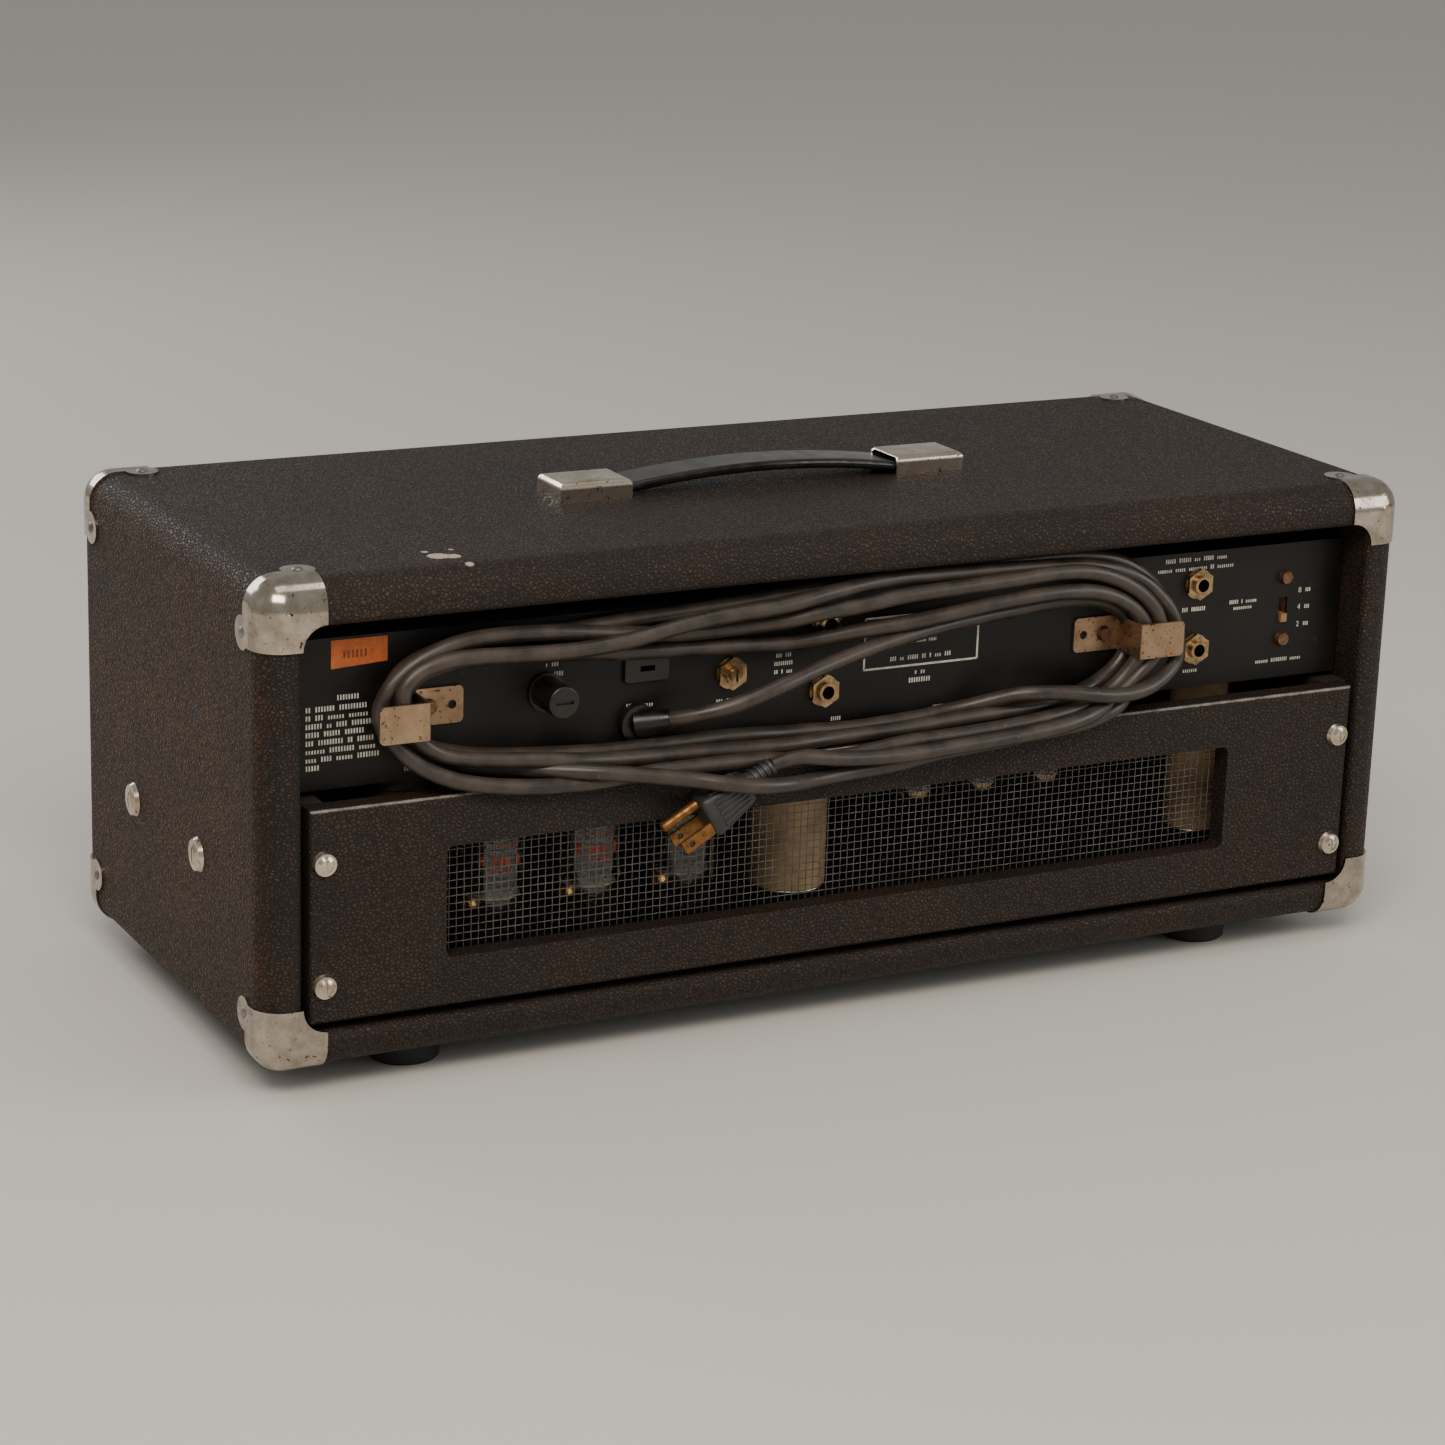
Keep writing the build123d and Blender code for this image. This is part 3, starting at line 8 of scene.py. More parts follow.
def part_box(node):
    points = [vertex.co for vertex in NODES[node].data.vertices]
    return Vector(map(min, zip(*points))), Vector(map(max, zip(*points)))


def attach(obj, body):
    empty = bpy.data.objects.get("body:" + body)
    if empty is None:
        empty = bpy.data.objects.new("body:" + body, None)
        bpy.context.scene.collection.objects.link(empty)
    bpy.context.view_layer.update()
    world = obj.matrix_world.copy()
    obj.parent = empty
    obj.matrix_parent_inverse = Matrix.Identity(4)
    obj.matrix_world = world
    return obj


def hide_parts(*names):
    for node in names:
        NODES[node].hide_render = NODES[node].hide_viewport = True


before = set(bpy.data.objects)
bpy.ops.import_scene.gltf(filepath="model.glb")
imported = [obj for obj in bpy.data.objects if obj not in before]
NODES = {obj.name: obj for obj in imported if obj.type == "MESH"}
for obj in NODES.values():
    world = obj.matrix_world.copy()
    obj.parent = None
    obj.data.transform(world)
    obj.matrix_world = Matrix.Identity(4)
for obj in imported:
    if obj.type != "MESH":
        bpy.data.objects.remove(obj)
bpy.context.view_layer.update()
MM = 0.001


# ---------------- places, from the frame

def mm(*values):
    """Millimetres as a vector in metres."""
    return Vector(values) * MM


def box_mm(node):
    """The low and the high corner of a CAD node, in millimetres."""
    return [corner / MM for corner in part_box(node)]


def middle_mm(node):
    """The middle of a CAD node's box, in millimetres."""
    low, high = box_mm(node)
    return (low + high) / 2


HALF, REAR, TOP = box_mm("vinyl_covering")[1]
BASE = box_mm("vinyl_covering")[0].z
WALL = box_mm("chassis_pan")[1].y
INK_THICK = 0.12


# ---------------- mesh helpers

def put(name, bm, body, material, replaces=None):
    """Make a bmesh a piece that rides on a body and takes the material it is given."""
    mesh = bpy.data.meshes.new(name)
    bm.to_mesh(mesh)
    bm.free()
    mesh.shade_smooth()
    mesh.set_sharp_from_angle(angle=PIECE_SMOOTH)
    return place(name, mesh, body, material, replaces)


def place(name, data, body, material, replaces=None):
    piece = bpy.data.objects.new(name, data)
    bpy.context.scene.collection.objects.link(piece)
    data.materials.clear()
    data.materials.append(material)
    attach(piece, body)
    if replaces:
        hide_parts(*replaces)
    return piece


def aimed(at, aim=(0, 0, 1)):
    """The placement of something made along Z, at a point in millimetres and along aim."""
    return Matrix.Translation(mm(*at)) @ Vector(aim).to_track_quat("Z", "Y").to_matrix().to_4x4()


def merge(bm, part, matrix):
    """Add a finished part to a bmesh, placed by a matrix."""
    bmesh.ops.recalc_face_normals(part, faces=part.faces)
    part.transform(matrix)
    mesh = bpy.data.meshes.new("part")
    part.to_mesh(mesh)
    part.free()
    bm.from_mesh(mesh)
    bpy.data.meshes.remove(mesh)


def lathe(bm, outline, matrix, steps=32):
    """Spin a (radius, height) outline in millimetres round Z, then place it."""
    part = bmesh.new()
    line = [part.verts.new(mm(radius, 0.0, height)) for radius, height in outline]
    edges = [part.edges.new(pair) for pair in zip(line, line[1:])]
    bmesh.ops.spin(part, geom=line + edges, axis=(0, 0, 1), cent=(0, 0, 0), steps=steps,
                   angle=2 * math.pi, use_merge=True)
    bmesh.ops.remove_doubles(part, verts=part.verts, dist=1e-6)
    merge(bm, part, matrix)


def rod(radius, low, high):
    """The outline of a plain round rod or disc between two heights."""
    return [(0, low), (radius, low), (radius, high), (0, high)]


def ring(radius, thick, height=0.0, points=8):
    """The outline of a round wire bent to a ring."""
    turns = [2 * math.pi * i / points for i in range(points)] + [0.0]
    return [(radius + thick * math.cos(t), height + thick * math.sin(t)) for t in turns]


def block(bm, low, high, matrix=None, edge=0.0):
    """A box between two corners in millimetres, with its edges taken off where edge is given."""
    part = bmesh.new()
    low, high = mm(*low), mm(*high)
    bmesh.ops.create_cube(part, size=1.0, matrix=Matrix.Translation((low + high) / 2)
                          @ Matrix.Diagonal((*(high - low), 1.0)))
    if edge:
        bmesh.ops.bevel(part, geom=part.edges[:], offset=edge * MM, affect="EDGES", segments=3, profile=0.5,
                        material=-1)
    merge(bm, part, matrix or Matrix.Identity(4))


def round_curve(name, radius, facets):
    """An empty curve that gives each line in it a round section."""
    curve = bpy.data.curves.new(name, "CURVE")
    curve.dimensions = "3D"
    curve.bevel_depth = radius * MM
    curve.bevel_resolution = facets
    curve.use_fill_caps = True
    return curve


def add_line(curve, points, steps):
    """Add one smooth open line, drawn by points in millimetres, to a curve."""
    spline = curve.splines.new("NURBS")
    spline.points.add(len(points) - 1)
    for point, spot in zip(spline.points, points):
        point.co = (*mm(*spot), 1.0)
    spline.order_u = 3
    spline.use_endpoint_u = True
    spline.resolution_u = steps


def curve_mesh(data):
    """The mesh that a curve draws; the curve itself is deleted."""
    holder = bpy.data.objects.new("holder", data)
    mesh = bpy.data.meshes.new_from_object(holder)
    bpy.data.objects.remove(holder)
    bpy.data.curves.remove(data)
    return mesh


def numeral(text, size):
    """A number as a thin flat mesh that faces -Y, with its middle at the origin."""
    curve = bpy.data.curves.new("numeral", "FONT")
    curve.body = text
    curve.size = size * MM
    curve.align_x = "CENTER"
    curve.align_y = "CENTER"
    curve.extrude = INK_THICK / 2 * MM
    mesh = curve_mesh(curve)
    mesh.transform(Matrix.Rotation(math.pi / 2, 4, "X"))
    return mesh


# ---------------- material helpers

def colour(code):
    """An sRGB hex value as a linear colour."""
    parts = [int(code[i:i + 2], 16) / 255 for i in (1, 3, 5)]
    linear = [c / 12.92 if c <= 0.04045 else ((c + 0.055) / 1.055) ** 2.4 for c in parts]
    return (*linear, 1.0)


def add(tree, kind, links=None, **settings):
    """Add one node, set what it is given and link its inputs."""
    made = tree.nodes.new("ShaderNode" + kind)
    for name, value in settings.items():
        setattr(made, name, value)
    for name, value in (links or {}).items():
        if isinstance(value, bpy.types.NodeSocket):
            tree.links.new(value, made.inputs[name])
        else:
            made.inputs[name].default_value = value
    return made


def blank(name, roughness, metallic=0.0, ior=1.5, specular=0.5):
    """A material with its shader and the object's coordinates."""
    material = bpy.data.materials.new(name)
    material.use_nodes = True
    tree = material.node_tree
    shader = tree.nodes["Principled BSDF"]
    shader.inputs["Roughness"].default_value = roughness
    shader.inputs["Metallic"].default_value = metallic
    shader.inputs["Specular IOR Level"].default_value = specular
    if not metallic:
        shader.inputs["IOR"].default_value = ior
    here = add(tree, "TexCoord").outputs["Object"]
    return material, tree, shader, here


def per(size_mm):
    """The texture scale that makes a feature of this many millimetres."""
    return 1.0 / (size_mm * MM)


def aged(name, clean, worn, roughness, metallic=0.0, specular=0.5, patch_mm=25.0, specks=None, speck_mm=2.0,
         speck_share=0.63, grain_mm=0.6, grain_depth=0.03, rough_spread=0.12):
    """A surface that drifts between two colours, with optional specks, fine grain and uneven gloss."""
    material, tree, shader, here = blank(name, roughness, metallic, specular=specular)
    drift = add(tree, "TexNoise", {"Vector": here, "Scale": per(patch_mm), "Detail": 6.0, "Roughness": 0.6})
    share = add(tree, "MapRange", {"Value": drift.outputs[0], "From Min": 0.35, "From Max": 0.68})
    tint = add(tree, "Mix", {0: share.outputs[0], 6: colour(clean), 7: colour(worn)}, data_type="RGBA")
    out = tint.outputs[2]
    if specks:
        spot = add(tree, "TexNoise", {"Vector": here, "Scale": per(speck_mm), "Detail": 4.0,
                                      "Roughness": 0.65})
        mask = add(tree, "MapRange", {"Value": spot.outputs[0], "From Min": speck_share,
                                      "From Max": speck_share + 0.05})
        out = add(tree, "Mix", {0: mask.outputs[0], 6: out, 7: colour(specks)}, data_type="RGBA").outputs[2]
    tree.links.new(out, shader.inputs["Base Color"])
    gloss = add(tree, "MapRange", {"Value": drift.outputs[0], "From Min": 0.3, "From Max": 0.7,
                                   "To Min": roughness - rough_spread, "To Max": roughness + rough_spread})
    tree.links.new(gloss.outputs[0], shader.inputs["Roughness"])
    fine = add(tree, "TexNoise", {"Vector": here, "Scale": per(grain_mm), "Detail": 3.0})
    bump = add(tree, "Bump", {"Height": fine.outputs[0], "Strength": 0.6, "Distance": grain_depth * MM})
    tree.links.new(bump.outputs[0], shader.inputs["Normal"])
    return material


def near(tree, here, spot, radius, ragged, softness=0.8, flatten=None):
    """A mask that is 1 within a ragged radius, in millimetres, of a spot or of a line along X."""
    if flatten:
        here = add(tree, "VectorMath", {0: here, 1: flatten}, operation="MULTIPLY").outputs[0]
        spot = [a * b for a, b in zip(spot, flatten)]
    away = add(tree, "VectorMath", {0: here, 1: mm(*spot)}, operation="DISTANCE").outputs[1]
    rough = add(tree, "Math", {0: ragged, 1: radius * MM, 2: away}, operation="MULTIPLY_ADD").outputs[0]
    return add(tree, "MapRange", {"Value": rough, "From Min": radius * 1.5 * MM,
                                  "From Max": (radius * 1.5 - softness) * MM}).outputs[0]


# ---------------- materials

# The vinyl, in millimetres. The real pebbles are about 1 mm across; 2 mm shows at this distance.
PEBBLE = 2.0
PEBBLE_BEND = 4.0
PEBBLE_SLIP = 2.2
PEBBLE_DEEP = 0.45
FADE_PATCH = 70.0
CHIP_PATCH = 9.0
# The ends have faded to brown, from this far inside each end face.
FADE_FROM, FADE_TO = 6.0, 0.5
# Scuffs on the top (x, y, radius), a tear in one end, and edges (y, z) with a pale line along X,
# between the side boards: partly worn vinyl, partly a painted highlight along the edge.
SCUFFS = ((213, 100, 5.5), (207, 103, 4.0), (205, 117, 2.4), (216, 91, 2.0), (203, 91, 1.6))
TEAR = (308.0, 40.5, 162.9)
TEAR_RADIUS = 4.0
WORN_AND_HIGHLIGHT_EDGES = ((126.1, 138.3), (126.1, 34.0))
WORN_AND_HIGHLIGHT_RADIUS = 1.3
WORN_AND_HIGHLIGHT_END = 288.0
WORN_AND_HIGHLIGHT_FULL = 284.0


def grained_vinyl():
    """Calendered PVC cloth with a pressed leather grain: dim, with a broken sheen where it turns a corner."""
    material, tree, shader, here = blank("grained_vinyl", 0.5, ior=1.52, specular=0.26)
    warp = add(tree, "TexNoise", {"Vector": here, "Scale": per(PEBBLE_BEND), "Detail": 3.0})
    bent = add(tree, "VectorMath", {0: warp.outputs[1], 1: (PEBBLE_SLIP * MM,) * 3}, operation="MULTIPLY")
    moved = add(tree, "VectorMath", {0: here, 1: bent.outputs[0]}, operation="ADD")
    pebble = add(tree, "TexVoronoi", {"Vector": moved.outputs[0], "Scale": per(PEBBLE)},
                 feature="DISTANCE_TO_EDGE")
    crease = add(tree, "MapRange", {"Value": pebble.outputs[0], "From Min": 0.0, "From Max": 0.34}).outputs[0]
    broad = add(tree, "TexNoise", {"Vector": here, "Scale": per(FADE_PATCH), "Detail": 7.0,
                                   "Roughness": 0.68})
    share = add(tree, "MapRange", {"Value": broad.outputs[0], "From Min": 0.36, "From Max": 0.66}).outputs[0]
    black = add(tree, "Mix", {0: share, 6: colour("#2b211b"), 7: colour("#3e2c20")}, data_type="RGBA")
    brown = add(tree, "Mix", {0: share, 6: colour("#432c1c"), 7: colour("#5a381d")}, data_type="RGBA")
    where = add(tree, "SeparateXYZ", {"Vector": here})
    end = add(tree, "Math", {0: where.outputs[0]}, operation="ABSOLUTE").outputs[0]
    faded = add(tree, "MapRange", {"Value": end, "From Min": (HALF - FADE_FROM) * MM,
                                   "From Max": (HALF - FADE_TO) * MM}).outputs[0]
    cloth = add(tree, "Mix", {0: faded, 6: black.outputs[2], 7: brown.outputs[2]}, data_type="RGBA")
    # Painted shade: the grain's creases are darkened towards near-black #15100c.
    pressed = add(tree, "Mix", {0: crease, 6: colour("#15100c"), 7: cloth.outputs[2]}, data_type="RGBA")
    out = pressed.outputs[2]
    chips = add(tree, "TexNoise", {"Vector": here, "Scale": per(CHIP_PATCH), "Detail": 6.0,
                                   "Roughness": 0.72})
    ragged = chips.outputs[0]
    chip = add(tree, "MapRange", {"Value": ragged, "From Min": 0.77, "From Max": 0.80}).outputs[0]
    between = add(tree, "MapRange", {"Value": end, "From Min": WORN_AND_HIGHLIGHT_END * MM,
                                     "From Max": WORN_AND_HIGHLIGHT_FULL * MM}).outputs[0]
    marks = [(chip, "#6b5038")]
    marks += [(near(tree, here, (x, y, TOP), radius, ragged), "#b5a691") for x, y, radius in SCUFFS]
    marks.append((near(tree, here, TEAR, TEAR_RADIUS, ragged), "#1c2a2c"))
    # A pale line along each edge: partly wear, partly a painted highlight.
    for y, z in WORN_AND_HIGHLIGHT_EDGES:
        edge = near(tree, here, (0, y, z), WORN_AND_HIGHLIGHT_RADIUS, ragged, flatten=(0, 1, 1))
        rubbed_and_highlight = add(tree, "Math", {0: edge, 1: between}, operation="MULTIPLY").outputs[0]
        marks.append((rubbed_and_highlight, "#9a9188"))
    for mask, code in marks:
        out = add(tree, "Mix", {0: mask, 6: out, 7: colour(code)}, data_type="RGBA").outputs[2]
    tree.links.new(out, shader.inputs["Base Color"])
    gloss = add(tree, "MapRange", {"Value": crease, "To Min": 0.72, "To Max": 0.36})
    tree.links.new(gloss.outputs[0], shader.inputs["Roughness"])
    bump = add(tree, "Bump", {"Height": crease, "Strength": 0.9, "Distance": PEBBLE_DEEP * MM})
    tree.links.new(bump.outputs[0], shader.inputs["Normal"])
    return material


def birch_plywood():
    """Bare birch plywood, dusty with age: long faint grain along X."""
    material, tree, shader, here = blank("birch_plywood", 0.62)
    grain = add(tree, "Mapping", {"Vector": here, "Scale": (4.0, 60.0, 60.0)})
    streak = add(tree, "TexNoise", {"Vector": grain.outputs[0], "Scale": 6.0, "Detail": 6.0,
                                    "Roughness": 0.65})
    share = add(tree, "MapRange", {"Value": streak.outputs[0], "From Min": 0.35, "From Max": 0.65}).outputs[0]
    tint = add(tree, "Mix", {0: share, 6: colour("#7a5b3c"), 7: colour("#54402c")}, data_type="RGBA")
    tree.links.new(tint.outputs[2], shader.inputs["Base Color"])
    bump = add(tree, "Bump", {"Height": streak.outputs[0], "Strength": 0.4, "Distance": 0.1 * MM})
    tree.links.new(bump.outputs[0], shader.inputs["Normal"])
    return material


THREAD = 1.4
FLECK = 3.0
# A Wave texture draws twenty bands to the unit at a scale of 1.
WAVE_BANDS = 20


def woven_grille():
    """Woven fibre grille cloth: threads over and under, dark with a silver fleck."""
    material, tree, shader, here = blank("woven_grille", 0.8)
    bands = per(THREAD) / WAVE_BANDS
    warp = add(tree, "TexWave", {"Vector": here, "Scale": bands}, bands_direction="X")
    weft = add(tree, "TexWave", {"Vector": here, "Scale": bands}, bands_direction="Z")
    both = add(tree, "Math", {0: warp.outputs[1], 1: weft.outputs[1]}, operation="MULTIPLY")
    fleck = add(tree, "TexNoise", {"Vector": here, "Scale": per(FLECK), "Detail": 2.0})
    shine = add(tree, "MapRange", {"Value": fleck.outputs[0], "From Min": 0.55, "From Max": 0.62}).outputs[0]
    tint = add(tree, "Mix", {0: both.outputs[0], 6: colour("#0c0c0d"), 7: colour("#2c2c2e")},
               data_type="RGBA")
    lit = add(tree, "Mix", {0: shine, 6: tint.outputs[2], 7: colour("#5a5a5c")}, data_type="RGBA")
    tree.links.new(lit.outputs[2], shader.inputs["Base Color"])
    bump = add(tree, "Bump", {"Height": both.outputs[0], "Strength": 0.8, "Distance": 0.3 * MM})
    tree.links.new(bump.outputs[0], shader.inputs["Normal"])
    return material


def clear_glass(name, tint):
    """Blown soda-lime glass: clear, with bright narrow reflections."""
    material, tree, shader, here = blank(name, 0.04)
    shader.inputs["Base Color"].default_value = colour(tint)
    shader.inputs["Transmission Weight"].default_value = 1.0
    ripple = add(tree, "TexNoise", {"Vector": here, "Scale": per(18.0), "Detail": 1.0})
    bump = add(tree, "Bump", {"Height": ripple.outputs[0], "Strength": 0.1, "Distance": 0.2 * MM})
    tree.links.new(bump.outputs[0], shader.inputs["Normal"])
    return material


VINYL = grained_vinyl()
PLYWOOD = birch_plywood()
# Plywood with dark stain, inside the cabinet: nearly black.
STAINED = aged("stained_plywood", "#2e251d", "#1f1813", 0.7, patch_mm=30.0, grain_mm=1.5, grain_depth=0.05)
# Pressed steel, chrome plated: mirror-like, with brown rust pits where the plate has failed.
CHROME = aged("pitted_chrome", "#c0b6a8", "#94887a", 0.17, 1.0, patch_mm=9.0, specks="#4a2c1a", speck_mm=2.6,
              speck_share=0.62, grain_depth=0.015, rough_spread=0.06)
# Pressed steel, nickel plated and handled for years: soft, scratched reflections.
NICKEL = aged("handled_nickel", "#d9cfc0", "#b09d87", 0.2, 1.0, patch_mm=12.0, specks="#5f452f", speck_mm=3.2,
              speck_share=0.62, rough_spread=0.08)
# Moulded rubber, dusty and matt.
RUBBER = aged("foot_rubber", "#141313", "#22201e", 0.72, patch_mm=8.0)
# Vinyl moulded over the strap: black and rather glossy, with a little grain.
GRIP = aged("moulded_vinyl", "#0b0b0c", "#181716", 0.24, patch_mm=14.0, grain_mm=0.9, grain_depth=0.05)
# Zinc-plated screws with rusty heads: coppery brown, dark in the slots.
RUSTED = aged("rusted_zinc", "#8c6a52", "#584030", 0.46, 0.9, patch_mm=2.5, specks="#2a1a10", speck_mm=1.2)
# Zinc-plated steel gone dull.
STEEL = aged("dull_zinc", "#9a9790", "#6f6a61", 0.42, 1.0, patch_mm=6.0, specks="#5b4632", speck_mm=2.0)
# Sprayed alkyd enamel on steel: satin black with dust and rub marks.
ENAMEL = aged("black_enamel", "#0a0807", "#16110d", 0.44, specular=0.3, patch_mm=40.0, specks="#2c211a",
              speck_mm=6.0, speck_share=0.68, grain_mm=0.8, grain_depth=0.02)
# Nickel over brass, worn through to the yellow metal.
BRASS = aged("worn_brass", "#b59a76", "#7f684c", 0.27, 1.0, patch_mm=3.5, specks="#573d26", speck_mm=1.4,
             speck_share=0.64)
# Compression-moulded phenolic: deep black, satin.
PHENOLIC = aged("black_phenolic", "#0e0c0b", "#1b1614", 0.34, patch_mm=8.0)
# Cadmium-plated strip, yellowed and pitted with rust.
CADMIUM = aged("rusty_cadmium", "#ab9074", "#8b6f55", 0.36, 0.85, patch_mm=14.0, specks="#3b2416",
               speck_mm=1.8, speck_share=0.6)
# Moulded ABS, a little yellowed.
IVORY = aged("ivory_abs", "#d8d2c2", "#c8bea8", 0.28, patch_mm=10.0)
# Turned and painted: the jewel of the lamp.
JEWEL = aged("red_jewel", "#8c0f0b", "#5c0805", 0.12, patch_mm=4.0)
# Brown paper-based phenolic board and sockets.
BOARD = aged("brown_phenolic", "#5a3a24", "#3d2718", 0.5, patch_mm=20.0)
SOCKET = aged("dark_phenolic", "#231913", "#2e221a", 0.5, patch_mm=10.0)
# Card sleeve, waxed and dusty.
CARD = aged("waxed_card", "#b59871", "#94795a", 0.66, patch_mm=12.0, grain_mm=1.2, grain_depth=0.06)
# Extruded rubber jacket: grey-brown, with a broad soft shine, dust in its nicks.
JACKET = aged("cord_rubber", "#2b2521", "#453b32", 0.38, patch_mm=16.0, specks="#5d5149", speck_mm=3.2,
              speck_share=0.67, grain_mm=0.9, grain_depth=0.06, rough_spread=0.1)
# Moulded rubber plug.
PLUG = aged("plug_rubber", "#232325", "#343233", 0.46, patch_mm=7.0, grain_mm=0.8, grain_depth=0.05)
# Rolled brass blades, corroded orange-brown.
BLADES = aged("corroded_brass", "#9a6c38", "#664422", 0.42, 0.75, patch_mm=4.0, specks="#2c1b10",
              speck_mm=1.6, speck_share=0.62)
# Galvanised steel wire.
WIRE = aged("galvanised_wire", "#7d7973", "#57524c", 0.45, 0.8, patch_mm=9.0)
# Brushed enamel over stacked iron: black, with rust coming through.
LAMINATIONS = aged("transformer_enamel", "#161514", "#26211d", 0.5, patch_mm=18.0, specks="#4a3526",
                   speck_mm=4.0)
# Silk-screened ink, chipped and dulled.
INK = aged("white_ink", "#cfcabd", "#9f998c", 0.6, patch_mm=3.0, specks="#3a3632", speck_mm=0.9,
           speck_share=0.66)
# Red enamel printed on the valves' glass.
RED_INK = aged("red_ink", "#b8321c", "#93281a", 0.6, patch_mm=3.0)
# Uncoated orange paper, rubbed and soiled.
PAPER = aged("orange_label", "#c0642a", "#a04e20", 0.7, patch_mm=6.0, specks="#7a3a1a", speck_mm=2.2)
# Bright bare steel.
BRIGHT = aged("bare_steel", "#c8c6c0", "#98958e", 0.28, 1.0, patch_mm=20.0)
# Punched vulcanised fibre, the selector's slider: tan.
TAN = aged("tan_fibre", "#9c7442", "#6b4c2a", 0.6, patch_mm=5.0)
# Nickel sheet blackened with carbon, inside the valves.
ANODE = aged("carbonised_nickel", "#3b3937", "#2a2827", 0.55, 0.6, patch_mm=9.0)
# Barium flashed onto the glass: a silver-gold mirror that browns at its rim.
GETTER = aged("getter_flash", "#b08a4c", "#6b5128", 0.16, 0.9, patch_mm=7.0)
# Punched mica: pale, with a low gloss.
MICA = aged("mica_sheet", "#b9b1a2", "#958c7c", 0.35, patch_mm=6.0)
# Rubber-stamp ink, soaked into the paper.
STAMP = aged("stamp_ink", "#7a3c1c", "#5a2c16", 0.7, patch_mm=2.0)
CLOTH = woven_grille()
GLASS = clear_glass("valve_glass", "#f4f6f6")

FINISHES = (
    (VINYL, ("vinyl_covering", "rear_panel")),
    (PLYWOOD, ("top_board", "baffle")),
    (STAINED, ("bottom_board", "side_boards", "panel_cleats")),
    (CHROME, ("corner_protectors",)),
    (NICKEL, ("handle_end_caps", "rear_panel_screws", "cup_washers", "chassis_bolts")),
    (RUBBER, ("rubber_feet",)),
    (GRIP, ("handle_grip",)),
    (STEEL, ("foot_screws", "handle_strap", "handle_bolts")),
    (RUSTED, ("panel_screws",)),
    (ENAMEL, ("chassis_pan", "control_panel")),
    (CADMIUM, ("chassis_brackets", "control_pots", "impedance_switch", "cord_hooks")),
    (BRASS, ("volume_shaft", "bass_shaft", "midrange_shaft", "treble_shaft", "bushing_nuts", "jacks",
             "hum_balance_pot", "hum_balance_shaft")),
    (PHENOLIC, ("volume_knob", "bass_knob", "midrange_knob", "treble_knob", "midrange_selector_rocker",
                "rocker_housings", "fuse_holder", "fuse_cap", "ac_outlet", "strain_relief")),
    (IVORY, ("power_rocker", "standby_rocker")),
    (JEWEL, ("pilot_lamp",)),
    (CLOTH, ("grille_cloth",)),
    (BRIGHT, ("fuse",)),
    (TAN, ("impedance_slider",)),
    (PLUG, ("plug_body",)),
    (BLADES, ("plug_blades",)),
    (LAMINATIONS, ("power_transformer", "output_transformer")),
    (CARD, ("filter_capacitors",)),
    (SOCKET, ("valve_sockets",)),
    (BOARD, ("circuit_board",)),
)
CAD_SMOOTH = math.radians(35)
PIECE_SMOOTH = math.radians(40)


def finish_cad_nodes():
    """Give each CAD node its material; flat faces and sharp edges stay as they are."""
    for material, names in FINISHES:
        for name in names:
            data = NODES[name].data
            data.materials.clear()
            data.materials.append(material)
            data.shade_smooth()
            data.set_sharp_from_angle(angle=CAD_SMOOTH)


# ---------------- camera and stage

# The camera's place in millimetres; it turns this far from +Y about Z, looks this far up, and leans over.
CAMERA_AT = (861.204, 1608.688, 649.555)
CAMERA_PAN, CAMERA_TILT, CAMERA_LEAN = 152.1883, -16.3490, 1.8353
CAMERA_LENS = 93.02
CAMERA_SENSOR = 36.0


def make_camera():
    """A long lens, a little above the cabinet and off to one side of its rear."""
    lens = bpy.data.cameras.new("camera")
    lens.lens = CAMERA_LENS
    lens.sensor_width = CAMERA_SENSOR
    lens.clip_end = 20.0
    camera = bpy.data.objects.new("camera", lens)
    turn = Matrix.Identity(4)
    for angle, axis in ((CAMERA_PAN, "Z"), (90 + CAMERA_TILT, "X"), (CAMERA_LEAN, "Z")):
        turn = turn @ Matrix.Rotation(math.radians(angle), 4, axis)
    camera.matrix_world = Matrix.Translation(mm(*CAMERA_AT)) @ turn
    bpy.context.scene.collection.objects.link(camera)
    bpy.context.scene.camera = camera


def lamp(name, at, target, size, power, tint="#ffffff"):
    """An area lamp that faces a target; places and sizes are in metres."""
    data = bpy.data.lights.new(name, "AREA")
    data.shape = "RECTANGLE"
    data.size, data.size_y = size
    data.energy = power
    data.color = colour(tint)[:3]
    light = bpy.data.objects.new(name, data)
    light.location = at
    light.rotation_euler = (Vector(target) - Vector(at)).to_track_quat("-Z", "Y").to_euler()
    bpy.context.scene.collection.objects.link(light)


def make_stage():
    """A pale floor, a soft grey sky and four area lamps."""
    bm = bmesh.new()
    bmesh.ops.create_grid(bm, x_segments=1, y_segments=1, size=6.0)
    mesh = bpy.data.meshes.new("floor")
    bm.to_mesh(mesh)
    bm.free()
    floor = bpy.data.objects.new("floor", mesh)
    bpy.context.scene.collection.objects.link(floor)
    # Matt painted studio floor: pale, with no pattern of its own.
    material, tree, shader, here = blank("studio_floor", 0.85)
    shader.inputs["Base Color"].default_value = colour("#cfcbc4")
    mesh.materials.append(material)
    world = bpy.data.worlds.new("studio")
    world.use_nodes = True
    world.node_tree.nodes["Background"].inputs[0].default_value = colour("#dcdad6")
    world.node_tree.nodes["Background"].inputs[1].default_value = 0.55
    bpy.context.scene.world = world
    lamp("key", (0.9, 1.6, 1.9), (0.0, 0.0, 0.15), (1.6, 0.9), 46.0, "#fff6ea")
    lamp("fill", (-1.8, 1.5, 0.9), (0.0, 0.1, 0.15), (1.4, 1.2), 16.0)
    lamp("front", (0.9, -2.2, 1.1), (0.0, 0.0, 0.15), (1.4, 0.9), 16.0)
    lamp("top", (0.0, 0.4, 2.2), (0.0, 0.0, 0.2), (1.4, 0.8), 6.0)


# ---------------- power cord

